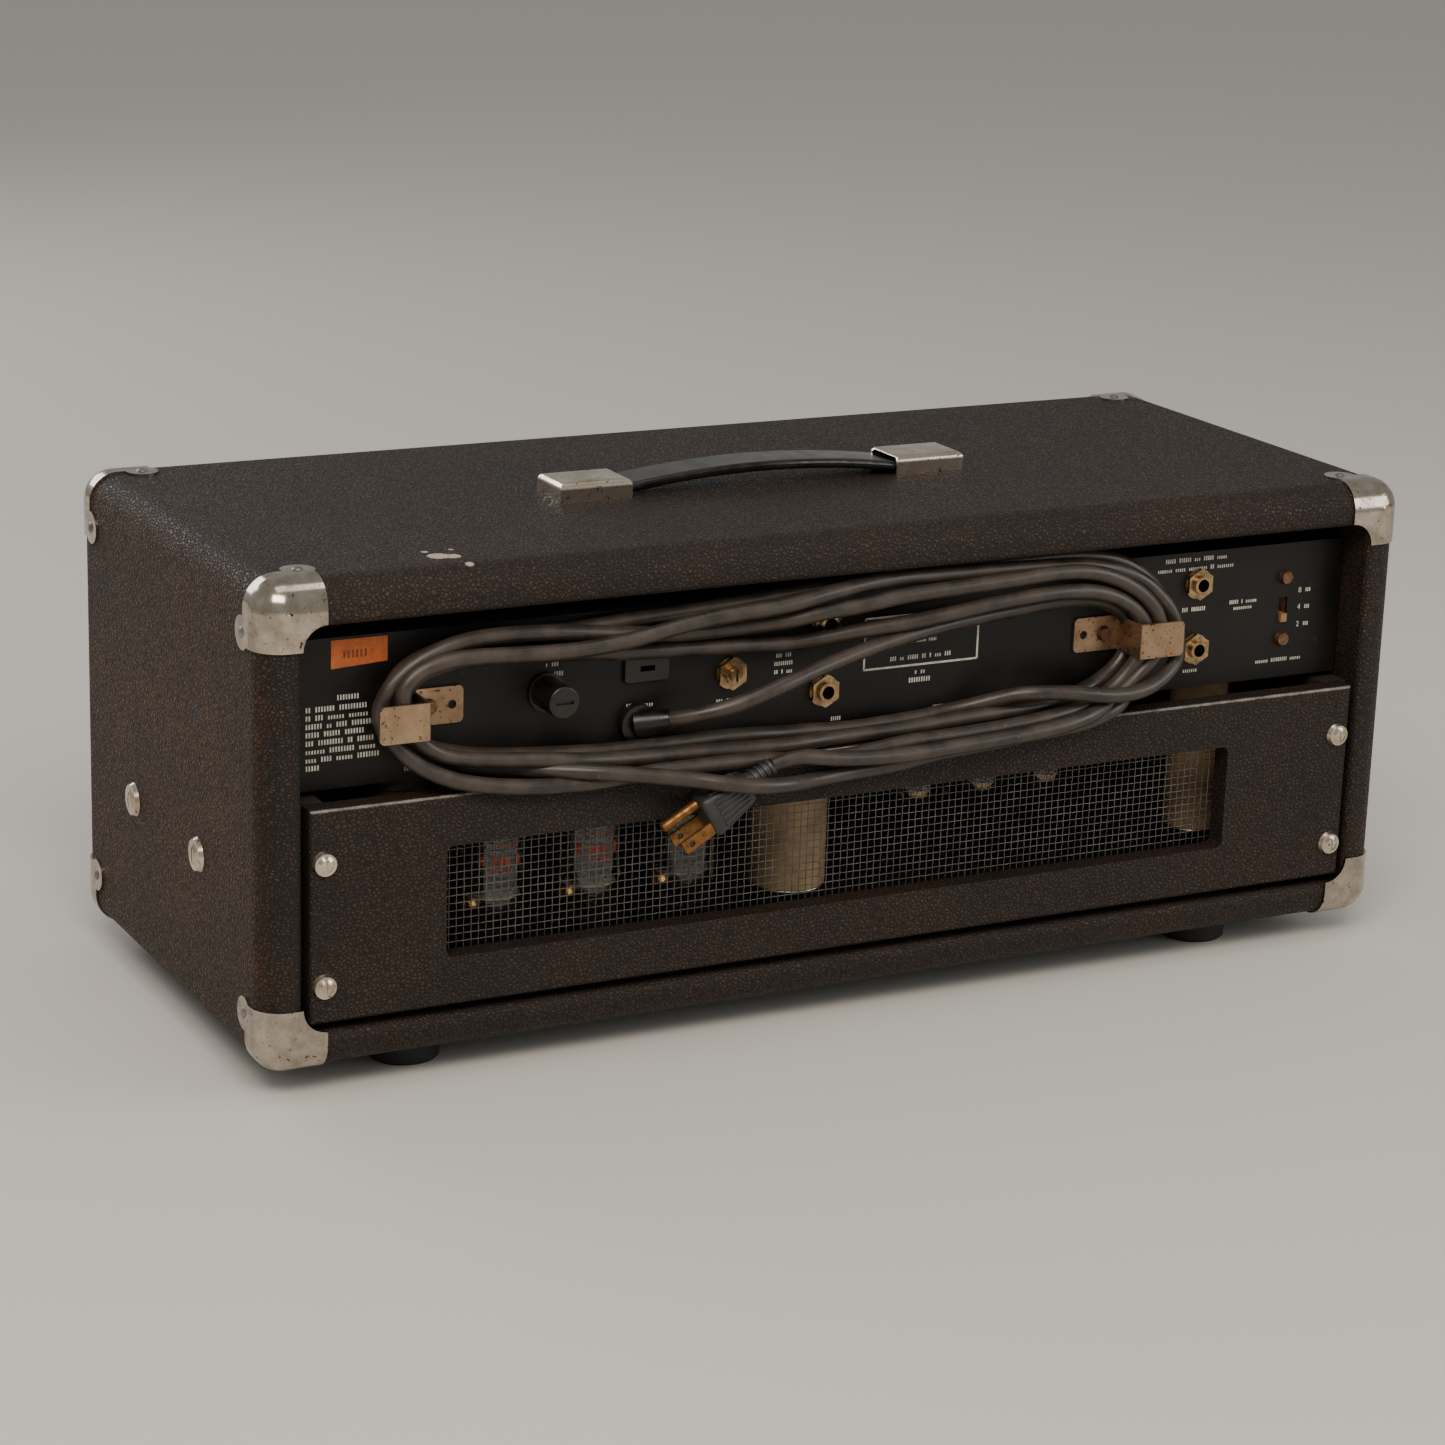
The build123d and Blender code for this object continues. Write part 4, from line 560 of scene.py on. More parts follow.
# The cord's line in millimetres, from the strain relief to the plug. It passes five times round the
# hook at -X and four times round the hook at +X, and each turn lies on its own level.
LEAD = [(102.7, 119.4, 160.1), (87.7, 131.8, 164.5), (60, 134.5, 172.5), (30, 128, 179.5), (-5, 121.5, 186),
        (-48, 116.5, 191.5), (-88, 112, 193.5)]
FIRST_RIGHT = [(-118, 111.5, 196), (-137, 112, 194), (-149, 112.5, 188.5), (-156, 111.5, 179),
               (-156.3, 111, 169), (-151, 111, 160.5), (-142, 112, 154), (-130, 114, 149.5),
               (-115, 117, 146.5), (-100, 119.5, 145)]
FIRST_BACK = [(-76, 121, 145), (-50, 121, 144), (-24, 121, 142.5), (0, 121, 142.3), (23, 122, 142.3),
              (44, 125, 142.4), (66, 124, 143), (87, 122.5, 143.5), (108, 122, 144), (130, 124, 145),
              (152, 127, 147.5), (173, 125, 150), (193, 122.5, 151), (214, 122, 154), (225, 122, 159),
              (231, 122, 164.5)]
FIRST_LEFT = [(236, 123.5, 172), (239.5, 125, 180), (240.5, 125.2, 187), (239, 125, 192), (232, 125, 198),
              (221, 125, 201), (208, 125, 202), (188, 125, 201), (167, 125, 200), (147, 125, 200),
              (126, 125, 202), (105, 125, 206), (83, 125, 209), (62, 125, 210), (46, 125, 211)]
SECOND_OUT = [(26, 123, 214), (3, 120, 216), (-19, 118, 217), (-42, 117, 216), (-73, 117, 216),
              (-104, 117, 215), (-124, 117, 214), (-144, 117, 210), (-159, 119, 203), (-169, 120, 193),
              (-174, 121, 187)]
SECOND_RIGHT = [(-177.5, 122, 177), (-177.5, 123.5, 167), (-176, 124, 161), (-168, 127, 155.5),
                (-154, 133, 151.8), (-139, 134.5, 150.5), (-123, 134.5, 152.5), (-107, 133, 155),
                (-92, 130, 155.5), (-83, 126, 154.8), (-74, 120, 151.5), (-62, 115, 148),
                (-48, 112, 145.5), (-30, 111.8, 143.8), (3, 112, 142.6), (26, 112.3, 144.3),
                (41, 112.8, 144.6)]
SECOND_LEFT = [(54, 114, 146), (76, 114.5, 147), (97, 115.8, 147), (119, 115.8, 147), (137, 114, 146.5),
               (155, 113, 147.5), (175, 112, 148.5), (188, 111, 149.5), (205, 111, 152), (222, 111.3, 157),
               (234, 111.5, 164), (241, 111.5, 171), (242, 111.5, 179), (241, 111.5, 187)]
THIRD_OUT = [(237, 112, 194), (228, 112, 199.5), (214, 112, 204), (198, 112, 206.5), (180, 112, 206.6),
             (161, 112, 205.8), (144, 111, 206), (128, 110.9, 207.5), (105, 110.9, 208.5),
             (80, 110.9, 209.5), (55, 111, 211), (26, 111.5, 213.5), (-17, 110.8, 216),
             (-73, 110.6, 217.5), (-104, 110.6, 218), (-124, 110.6, 217.5), (-144, 111, 214.5),
             (-160, 111.5, 206.5), (-171, 112, 195.5), (-177, 112, 184)]
THIRD_RIGHT = [(-175, 112, 172), (-169, 113, 162), (-158, 118, 153.5), (-148, 124, 147), (-138, 130, 142.5),
               (-126, 130.3, 138.5), (-110, 130.3, 136), (-88, 130.3, 135), (-60, 130.3, 132.5),
               (-40, 130.3, 131.5), (-25, 131, 130), (-10, 131, 128), (20, 131.5, 127)]
THIRD_LEFT = [(38, 137, 127.5), (52, 144.5, 129.5), (71, 147, 131.6), (88, 145.5, 134.5),
              (101.5, 139.5, 136.5), (119.5, 138, 139.7), (137.5, 137, 142.5), (151, 133.5, 144),
              (165, 127, 144.2), (178, 119, 144.5), (188, 113, 144), (203, 111.5, 147), (216, 111.3, 153),
              (226, 111.2, 159), (232.5, 111, 167), (234.3, 111, 177), (233, 111.5, 186)]
FOURTH_OUT = [(227, 112, 192), (216, 112, 195.5), (200, 112, 197), (182, 112, 196.5), (160, 112, 195.5),
              (140, 112.5, 194.5), (126, 113.2, 193), (105, 113.2, 192), (83, 112.5, 191), (62, 112, 190),
              (38, 112.5, 188.5), (22, 115, 190), (4, 118, 193), (-18, 121, 195), (-40, 123, 197.7),
              (-71, 124.5, 202), (-102, 124.5, 204), (-123, 124.5, 203), (-137, 124.5, 199),
              (-149, 124.3, 192)]
FOURTH_RIGHT = [(-156.5, 124, 184), (-158, 123.5, 175), (-155, 123, 166), (-147, 121, 155),
                (-137, 121.5, 148), (-117, 128, 144), (-95, 130.2, 141.9), (-70.5, 130.2, 140),
                (-39.5, 130.2, 139), (-16.5, 130.2, 138.8), (-1, 130.2, 136.8), (12, 130.3, 135.5),
                (30, 130.3, 135.5)]
FOURTH_LEFT = [(45, 130.2, 136.5), (58, 129.8, 138.5), (70, 130, 139), (91, 130.3, 139.3),
               (112, 130.3, 139.3), (128, 130.3, 138.8), (141, 130.3, 137.8), (152, 130.3, 137.5),
               (169, 130.3, 138), (188, 130.3, 140), (203, 130.3, 142.5), (217, 128, 145.8),
               (229, 125, 151), (238, 122, 158), (244, 120, 165), (248, 119.5, 172), (249.5, 119, 179),
               (246, 120, 188)]
FIFTH_OUT = [(242, 120, 193), (233, 120, 200), (219, 120, 206), (203, 119.5, 209), (184, 119, 209),
             (165, 119, 208), (144, 118, 205.5), (128, 116.5, 203), (93, 115.5, 199.5), (71, 115.5, 200),
             (43, 120, 202), (27, 122.5, 205), (5, 124, 207), (-17, 124.4, 210), (-40, 124.6, 211),
             (-70, 124.6, 212), (-101, 124.6, 214), (-122, 124.6, 213), (-138, 124.6, 208),
             (-152, 124.8, 200), (-161, 125, 191)]
TO_PLUG = [(-165, 125, 183), (-166, 125, 175), (-163, 125, 166), (-153, 124, 155.5), (-140, 125.5, 146.6),
           (-130, 130, 143.8), (-118, 135, 141.5), (-98, 138, 139), (-67, 138, 137), (-41, 138, 136),
           (-20, 138, 135), (-5, 138, 135.2), (18, 138, 136.5), (33, 137.8, 139), (46, 137.3, 140.8),
           (57.8, 137, 137.2)]
CORD_POINTS = (LEAD + FIRST_RIGHT + FIRST_BACK + FIRST_LEFT + SECOND_OUT + SECOND_RIGHT + SECOND_LEFT
               + THIRD_OUT + THIRD_RIGHT + THIRD_LEFT + FOURTH_OUT + FOURTH_RIGHT + FOURTH_LEFT
               + FIFTH_OUT + TO_PLUG)
CORD_DIAMETER = 7.6


def make_cord():
    """The rubber-jacketed cord, wound on the two hooks, on one smooth line."""
    curve = round_curve("power_cord", CORD_DIAMETER / 2, facets=5)
    add_line(curve, CORD_POINTS, steps=5)
    return place("power_cord", curve, "case", JACKET, ("cord_lead", "cord_hank"))


# ---------------- plug

PLUG_NECK_END = CORD_POINTS[-1]
PLUG_AIM = (0.868, 0.0, -0.495)
PLUG_NECK = 14.5
PLUG_BODY = (18.0, 22.0, 27.0)
PLUG_BACK = (12.0, 14.0)
PLUG_ROUND = 3.2
# The neck is a row of ribs, each a little wider than the last: radius and height.
PLUG_NECK_LINE = [(0, 0.2), (4.1, 0.2), (4.7, 0.9), (4.7, 2.3), (4.1, 2.7), (4.1, 3.5), (4.9, 3.9),
                  (4.9, 5.3), (4.3, 5.7), (4.3, 6.5), (5.1, 6.9), (5.1, 8.3), (4.5, 8.7), (4.5, 9.5),
                  (5.3, 9.9), (5.3, 11.3), (4.8, 11.7), (4.8, 12.5), (5.5, 13.0), (5.5, 15.5), (0, 15.5)]
# Finger ribs on the body's four sides: how many, half their width, how far they stand out, and their ends.
FINGER_RIBS = 5
FINGER_STEPS = (2.9, 3.4)
FINGER_HALF = (0.7, 0.8)
FINGER_OUT = 0.7
FINGER_ALONG = (4, 21)
FINGER_ROUND = 0.4


def plug_matrix():
    """The plug's placement: Z along its blades and X across it."""
    ahead = Vector(PLUG_AIM).normalized()
    across = Vector((0, 0, 1)).cross(ahead).normalized()
    turn = Matrix((across, ahead.cross(across), ahead)).transposed().to_4x4()
    return Matrix.Translation(mm(*PLUG_NECK_END)) @ turn


def make_plug():
    """A moulded plug: a ribbed neck, and a flared body with finger ribs."""
    bm = bmesh.new()
    lathe(bm, PLUG_NECK_LINE, plug_matrix(), steps=28)
    wide, tall, long = PLUG_BODY
    body = bmesh.new()
    block(body, (-wide / 2, -tall / 2, 0), (wide / 2, tall / 2, long), edge=PLUG_ROUND)
    reach_x, reach_y = wide / 2 + FINGER_OUT, tall / 2 + FINGER_OUT
    start, stop = FINGER_ALONG
    for rib in range(FINGER_RIBS):
        x, y = [(rib - FINGER_RIBS // 2) * step for step in FINGER_STEPS]
        half_x, half_y = FINGER_HALF
        block(body, (x - half_x, -reach_y, start), (x + half_x, reach_y, stop), edge=FINGER_ROUND)
        block(body, (-reach_x, y - half_y, start), (reach_x, y + half_y, stop), edge=FINGER_ROUND)
    for vert in body.verts:
        share = min(1.0, max(0.0, vert.co.z / (long * MM)))
        vert.co.x *= PLUG_BACK[0] / wide * (1 - share) + share
        vert.co.y *= PLUG_BACK[1] / tall * (1 - share) + share
    merge(bm, body, plug_matrix() @ Matrix.Translation(mm(0, 0, PLUG_NECK)))
    return put("moulded_plug", bm, "case", PLUG, ("plug_body",))


# ---------------- wire screen

MESH_PITCH = 3.75
MESH_MARGIN = 1.5
WIRE_RADIUS = 0.3
CRIMP = 0.36


def wire_places(low, high):
    """Where the wires lie between two edges, a pitch apart."""
    count = int((high - low - 2 * MESH_MARGIN) / MESH_PITCH) + 1
    return [low + MESH_MARGIN + MESH_PITCH * i for i in range(count)]


def make_wire_screen():
    """Galvanised hardware cloth: each wire goes over and under the ones that it crosses."""
    low, high = box_mm("wire_screen")
    y = (low.y + high.y) / 2
    across, up = wire_places(low.x, high.x), wire_places(low.z, high.z)
    curve = round_curve("wires", WIRE_RADIUS, facets=0)
    for i, x in enumerate(across):
        weave = [(x, y + (CRIMP if (i + j) % 2 else -CRIMP), z) for j, z in enumerate(up)]
        add_line(curve, [(x, y, low.z), *weave, (x, y, high.z)], steps=2)
    for j, z in enumerate(up):
        weave = [(x, y + (-CRIMP if (i + j) % 2 else CRIMP), z) for i, x in enumerate(across)]
        add_line(curve, [(low.x, y, z), *weave, (high.x, y, z)], steps=2)
    mesh = curve_mesh(curve)
    mesh.shade_smooth()
    place("woven_wire", mesh, "case", WIRE, ("wire_screen",))


# ---------------- valves

VALVE_Y = middle_mm("power_valves").y
VALVE_SEAT = box_mm("power_valves")[1].z
POWER_X = (228.9, 178.9, 128.9, 78.9)
PREAMP_X = (-49.8, -87.0, -124.4)
BASE_TALL = 19.0
# Outlines run down from the valve's seat, from the tip outside to the tip inside.
POWER_GLASS = [(0, 83.0), (5.5, 82.6), (10.5, 81.2), (14.0, 78.3), (15.9, 74.0), (16.5, 69.0), (16.5, 27.0),
               (16.0, 22.5), (14.6, 19.6), (13.6, 17.0), (12.6, 17.0), (13.6, 20.0), (15.0, 23.0),
               (15.5, 27.0), (15.5, 69.0), (14.9, 73.6), (13.1, 77.5), (9.9, 80.3), (5.0, 81.6), (0, 82.0)]
PREAMP_GLASS = [(0, 50.0), (1.6, 49.4), (2.6, 47.8), (5.2, 46.8), (8.6, 45.0), (10.4, 41.5), (10.8, 37.0),
                (10.8, 6.0), (10.2, 3.0), (9.0, 1.0), (8.2, 1.0), (9.3, 3.4), (9.9, 6.2), (9.9, 37.0),
                (9.5, 41.0), (8.0, 44.2), (4.9, 45.9), (0, 46.2)]
POWER_BASE = [(0, 0), (16.6, 0), (17.2, 0.7), (17.2, 3.0), (16.4, 3.6), (16.4, 17.4), (15.6, BASE_TALL),
              (0, BASE_TALL)]
POWER_FLASH = [(15.1, 70.5), (14.6, 73.5), (12.8, 77.2), (9.7, 79.9), (4.9, 81.2), (0, 81.6), (0, 81.3),
               (4.8, 80.9), (9.4, 79.5), (12.4, 76.9), (14.2, 73.3), (14.7, 70.5), (15.1, 70.5)]
PREAMP_FLASH = [(9.7, 38.0), (9.2, 41.0), (7.8, 43.8), (4.8, 45.5), (0, 45.8), (0, 45.5), (4.7, 45.2),
                (7.5, 43.5), (8.9, 40.9), (9.4, 38.0), (9.7, 38.0)]
# Inside the glass of a power valve, by height: an anode box with two fins and ribs, four support rods, two
# mica discs and a getter ring.
ANODE_HALF = (11, 6)
ANODE_SPAN = (32, 62)
FIN_X, FIN_HALF, FIN_THICK = 9, 4.5, 0.4
RIBS, RIB_STEP, RIB_START, RIB_TALL, RIB_HALF = 5, 5.5, 35, 2, 7
ROD_RADIUS = 0.8
ROD_SPAN = (20, 66)
ROD_AT = (8, 4)
MICA_RADIUS = 13.8
MICA_THICK = 0.5
MICA_HEIGHTS = (30.5, 63.0)
GETTER_RING = (5.0, 0.6, 71.0)
# Printed on a power valve: the letters in each line, their height and their width. Every fourth is a space.
MARK_LINES = ((5, 4.2, 2.0), (8, 2.0, 1.0), (7, 4.6, 2.2), (9, 1.6, 0.9))
MARK_LOW = 28.0
MARK_STEP = 6.6
MARK_GAP = 0.9
MARK_TURN = 8
MARK_RADII = (16.48, 16.62)
BULB_RADIUS = 16.5


def hanging(x):
    """The placement of a valve, which hangs from its seat."""
    return Matrix.Translation(mm(x, VALVE_Y, VALVE_SEAT)) @ Matrix.Rotation(math.pi, 4, "X")


def add_power_anode(bm, at):
    """A power valve's anode box, its fins, ribs and rods, and the getter's ring."""
    wide, deep = ANODE_HALF
    low, high = ANODE_SPAN
    block(bm, (-wide, -deep, low), (wide, deep, high), at, edge=2.5)
    for side in (-1, 1):
        fin = side * FIN_X
        block(bm, (fin - FIN_HALF, -FIN_THICK, low + 1), (fin + FIN_HALF, FIN_THICK, high - 1), at)
        for rib in range(RIBS):
            z = RIB_START + rib * RIB_STEP
            block(bm, (-RIB_HALF, side * deep - 0.5, z), (RIB_HALF, side * deep + 0.5, z + RIB_TALL), at)
        for y in (ROD_AT[1], -ROD_AT[1]):
            lathe(bm, rod(ROD_RADIUS, *ROD_SPAN), at @ Matrix.Translation(mm(side * ROD_AT[0], y, 0)), 8)
    lathe(bm, ring(*GETTER_RING), at, steps=24)


def add_valve_marks(bm, at):
    """Lines of small blocks round the glass, one for each letter: they say nothing."""
    inner, outer = MARK_RADII
    for line, (count, tall, wide) in enumerate(MARK_LINES):
        for letter in range(count):
            if (letter + line) % 4 == 3:
                continue
            turn = (letter - (count - 1) / 2) * (wide + MARK_GAP) / BULB_RADIUS + math.radians(MARK_TURN)
            low = MARK_LOW + line * MARK_STEP
            block(bm, (-wide / 2, -outer, low), (wide / 2, -inner, low + tall),
                  at @ Matrix.Rotation(turn, 4, "Z"))


def make_valves():
    """Seven valves: glass round grey anodes between mica discs, a getter at the tip and printed marks."""
    glass, bases, anodes, micas, getters, marks = [bmesh.new() for _ in range(6)]
    for x in POWER_X:
        at = hanging(x)
        lathe(glass, POWER_GLASS, at, steps=36)
        lathe(bases, POWER_BASE, at, steps=36)
        add_power_anode(anodes, at)
        for height in MICA_HEIGHTS:
            lathe(micas, rod(MICA_RADIUS, height, height + MICA_THICK), at, steps=18)
        lathe(getters, POWER_FLASH, at, steps=36)
        add_valve_marks(marks, at)
    for x in PREAMP_X:
        at = hanging(x)
        lathe(glass, PREAMP_GLASS, at, steps=30)
        lathe(bases, rod(9.4, 0, 1.6), at, steps=30)
        for side in (-1, 1):
            block(anodes, (side * 3.6 - 2.8, -3.2, 12), (side * 3.6 + 2.8, 3.2, 32), at, edge=0.8)
        for height in (10.0, 33.5):
            lathe(micas, rod(8.8, height, height + 0.4), at, steps=16)
        lathe(anodes, ring(3.0, 0.45, 38.5), at, steps=20)
        lathe(getters, PREAMP_FLASH, at, steps=30)
    put("valve_envelopes", glass, "case", GLASS, ("power_valves", "preamp_valves"))
    put("valve_bases", bases, "case", SOCKET)
    put("valve_anodes", anodes, "case", ANODE)
    put("valve_micas", micas, "case", MICA)
    put("valve_getters", getters, "case", GETTER)
    put("valve_marks", marks, "case", RED_INK)


# ---------------- printed marks

# Shares of a line's height.
LETTER_GAP = 0.27
WORD_GAP = 0.8
# Each line of print: where its middle is, its height, and how many letters each word has.
REAR_PRINT = (
    (109.9, 207.9, 2.2, (3, 6, 3, 4, 3)), (158.3, 189.1, 2.2, (1, 3)), (158.3, 184.3, 2.2, (4, 4)),
    (112.8, 164.7, 2.2, (5, 5)), (37, 181.5, 2.0, (3, 3)), (37, 177.5, 2.0, (9,)),
    (37, 173.5, 2.0, (2, 1, 3)), (259.0, 184.0, 2.4, (8,)),
    (15, 207.5, 2.2, (3, 3)), (15, 174.0, 2.2, (3, 3)), (65.5, 162.0, 2.2, (3, 7)),
    (-38.7, 166.0, 2.4, (1, 2)), (-38.7, 161.9, 2.4, (9,)), (-197.0, 208.4, 2.2, (5, 6, 3, 5, 5)),
    (-197.0, 203.7, 2.2, (7, 5, 9, 2, 8)), (-197.3, 182.4, 2.2, (3, 7)), (-197.4, 150.5, 2.2, (7,)),
    (-227.2, 183.9, 2.0, (5, 1, 6)), (-227.2, 180.7, 2.0, (10,)), (-251.6, 150.9, 2.0, (7, 9, 6)),
    (-38.7, 191.0, 2.4, (8, 3, 8)), (-38.7, 186.6, 1.6, (8, 2, 3, 7, 9)), (-38.7, 181.6, 1.6, (5, 6, 5)),
    (-38.7, 173.6, 2.2, (3, 2, 5, 2, 1, 3, 3)), (228.9, 147.0, 2.0, (5,)), (129.5, 147.0, 2.0, (5,)),
    (7.2, 147.0, 2.0, (5,)), (-49.8, 147.0, 2.0, (5,)), (-87.0, 147.0, 2.0, (5,)), (-124.4, 147.0, 2.0, (4,)),
)
NOTICE_LEFT = 279.5
NOTICE_TOP = 179.4
NOTICE_STEP = 3.9
NOTICE_TALL = 2.4
NOTICE_LINES = ((2, 7, 10), (2, 3, 6, 7), (6, 2, 4, 8), (5, 6, 7), (3, 9, 2, 6), (7, 9, 6), (4, 4, 6, 8),
                (5,))
FRAME_X = (-70.4, -7.0)
FRAME_Z = (169.5, 194.9)
SWITCH_MARKS = ((186.5, "8"), (177.7, "4"), (168.6, "2"))
SWITCH_MARK_X = -262.0
SWITCH_WORD_IN = 5.2
FRAME_HALF = 0.5


def print_line(bm, x, z, tall, words, y, left=False):
    """One line of print as rows of thin blocks, one for each letter: it says nothing."""
    wide = tall * 0.3
    step = wide + LETTER_GAP * tall
    length = sum(words) * step + (len(words) - 1) * WORD_GAP * tall
    at = x if left else x + length / 2
    for word, count in enumerate(words):
        for letter in range(count):
            short = 0.28 * tall if (letter * 3 + word * 5 + count) % 3 == 1 else 0.0
            block(bm, (at - wide, min(y), z - tall / 2), (at, max(y), z + tall / 2 - short))
            at -= step
        at -= WORD_GAP * tall


def make_rear_print():
    """The chassis wall's print as rows of blocks, a frame, and the selector's three numbers."""
    bm = bmesh.new()
    on = (WALL, WALL + INK_THICK)
    for x, z, tall, words in REAR_PRINT:
        print_line(bm, x, z, tall, words, on)
    for line, words in enumerate(NOTICE_LINES):
        print_line(bm, NOTICE_LEFT, NOTICE_TOP - line * NOTICE_STEP, NOTICE_TALL, words, on, left=True)
    for z in FRAME_Z:
        block(bm, (FRAME_X[0], on[0], z - FRAME_HALF), (FRAME_X[1], on[1], z + FRAME_HALF))
    for x in FRAME_X:
        block(bm, (x - FRAME_HALF, on[0], FRAME_Z[0]), (x + FRAME_HALF, on[1], FRAME_Z[1]))
    back = Matrix.Rotation(math.pi, 4, "Z")
    for z, text in SWITCH_MARKS:
        mesh = numeral(text, 4.0)
        mesh.transform(Matrix.Translation(mm(SWITCH_MARK_X, WALL + INK_THICK / 2, z)) @ back)
        bm.from_mesh(mesh)
        print_line(bm, SWITCH_MARK_X - SWITCH_WORD_IN, z, 2.0, (3,), on)
    put("rear_print", bm, "case", INK)


LABEL_X = (240.3, 267.5)
LABEL_Z = (197.5, 210.7)
LABEL_THICK = 0.2
LABEL_TORN = 1.6
STAMP_THICK = 0.06


def make_label():
    """A blank paper label on the chassis, with one corner torn away."""
    bm = bmesh.new()
    face = WALL + LABEL_THICK
    block(bm, (LABEL_X[0], WALL, LABEL_Z[0]), (LABEL_X[1], face, LABEL_Z[1]))
    for vert in bm.verts:
        if vert.co.x < (LABEL_X[0] + 1) * MM and vert.co.z < (LABEL_Z[0] + 1) * MM:
            vert.co.z += LABEL_TORN * MM
    put("paper_label", bm, "case", PAPER)
    stamp = bmesh.new()
    print_line(stamp, 255.5, 203.8, 3.6, (6,), (face, face + STAMP_THICK))
    put("label_stamp", stamp, "case", STAMP)


# ---------------- front

KNOB_X = {name: middle_mm(name + "_knob").x for name in ("volume", "bass", "midrange", "treble")}
CONTROL_Z = middle_mm("volume_knob").z
CONTROL_FACE = box_mm("control_panel")[0].y
KNOB_TIP = box_mm("volume_knob")[0].y
LAMP_X = middle_mm("pilot_lamp").x
KNOB_GRIP = 9.5
FLUTES = 30
DIAL_RADIUS = 20.5
DIAL_SWEEP = 300.0
TICK_RADII = (15.8, 17.4)
TICK_HALF = 0.3
# The words under the controls: where each is, and how many letters it has.
CONTROL_WORDS = ((-160, 6), (-95, 4), (-30, 8), (70, 6), (20, 8), (160, 7), (205, 5), (-257, 6), (-227, 6))
WORD_DROP = 25.5
RULES = (31, -30)
RULE_END = 282
RULE_HALF = 0.4


def make_dials():
    """Numbers from 0 to 10 round each knob, with a tick for each, and a word under it as blocks."""
    bm = bmesh.new()
    on = (CONTROL_FACE - INK_THICK, CONTROL_FACE)
    for number in range(11):
        turn = math.radians((number - 5) * DIAL_SWEEP / 10)
        mesh = numeral(str(number), 4.4)
        last = Vector()
        for x in KNOB_X.values():
            spot = mm(x + DIAL_RADIUS * math.sin(turn), CONTROL_FACE - INK_THICK / 2,
                      CONTROL_Z + DIAL_RADIUS * math.cos(turn))
            mesh.transform(Matrix.Translation(spot - last))
            last = spot
            bm.from_mesh(mesh)
            tick = Matrix.Translation(mm(x, 0, CONTROL_Z)) @ Matrix.Rotation(turn, 4, "Y")
            block(bm, (-TICK_HALF, on[0], TICK_RADII[0]), (TICK_HALF, on[1], TICK_RADII[1]), tick)
    for x, letters in CONTROL_WORDS:
        print_line(bm, x, CONTROL_Z - WORD_DROP, 2.8, (letters,), on)
    for up in RULES:
        z = CONTROL_Z + up
        block(bm, (-RULE_END, on[0], z - RULE_HALF), (RULE_END, on[1], z + RULE_HALF))
    put("dial_print", bm, "case", INK)


def make_knob_details():
    """A fluted grip and a white line on each knob, which turn with it."""
    for name, x in KNOB_X.items():
        axis = aimed((x, KNOB_TIP, CONTROL_Z), (0, 1, 0))
        flutes = bmesh.new()
        for step in range(FLUTES):
            spin = axis @ Matrix.Rotation(math.radians(step * 360 / FLUTES), 4, "Z")
            block(flutes, (KNOB_GRIP - 0.5, -0.45, 1.0), (KNOB_GRIP + 0.45, 0.45, 9.6), spin, edge=0.25)
        put(name + "_flutes", flutes, name, PHENOLIC)
        inlay = bmesh.new()
        block(inlay, (x - 0.6, KNOB_TIP + 0.1, CONTROL_Z + 1), (x + 0.6, KNOB_TIP + 0.5, CONTROL_Z + 9))
        put(name + "_pointer", inlay, name, INK)


def make_lamp_bezel():
    """A turned ring round the pilot lamp."""
    bm = bmesh.new()
    lathe(bm, [(6.1, 0), (8.6, 0), (8.6, 1.0), (7.6, 2.4), (6.1, 2.4), (6.1, 0)],
          aimed((LAMP_X, CONTROL_FACE, CONTROL_Z), (0, -1, 0)), steps=32)
    put("lamp_bezel", bm, "case", CHROME)


STAPLE_PITCH = 25
CLOTH_THICK = 0.6


def make_grille_cloth():
    """Grille cloth stretched over the baffle, drawn in a little between its staples."""
    low, high = box_mm("grille_cloth")
    bm = bmesh.new()
    bmesh.ops.create_grid(bm, x_segments=120, y_segments=24, size=0.5)
    wide, tall = high.x - low.x, high.z - low.z
    for vert in bm.verts:
        u, v = vert.co.x, vert.co.y
        pull = 0.3 * abs(math.sin(u * wide / STAPLE_PITCH * math.pi)) * max(0.0, abs(v) - 0.42) / 0.08
        sag = 0.18 * math.sin(u * 9) * math.sin(v * 5)
        vert.co = mm((low.x + high.x) / 2 + u * wide, (low.y + high.y) / 2 + sag,
                     (low.z + high.z) / 2 + v * tall * (1 - pull * 0.006))
    bmesh.ops.reverse_faces(bm, faces=bm.faces)
    bmesh.ops.recalc_face_normals(bm, faces=bm.faces)
    bmesh.ops.solidify(bm, geom=bm.faces[:], thickness=CLOTH_THICK * MM)
    cloth = put("stretched_cloth", bm, "case", CLOTH, ("grille_cloth",))


# ---------------- small metalwork

NAIL_LINE = [(0, 1.15), (1.2, 1.0), (2.2, 0.55), (2.8, 0.0), (2.8, -0.25), (1.4, -0.3), (1.4, -1.4),
             (0, -1.4)]
CORNER_SHEET = 1.2
EAR_ACROSS = 21.5
EAR_ALONG = 25.3


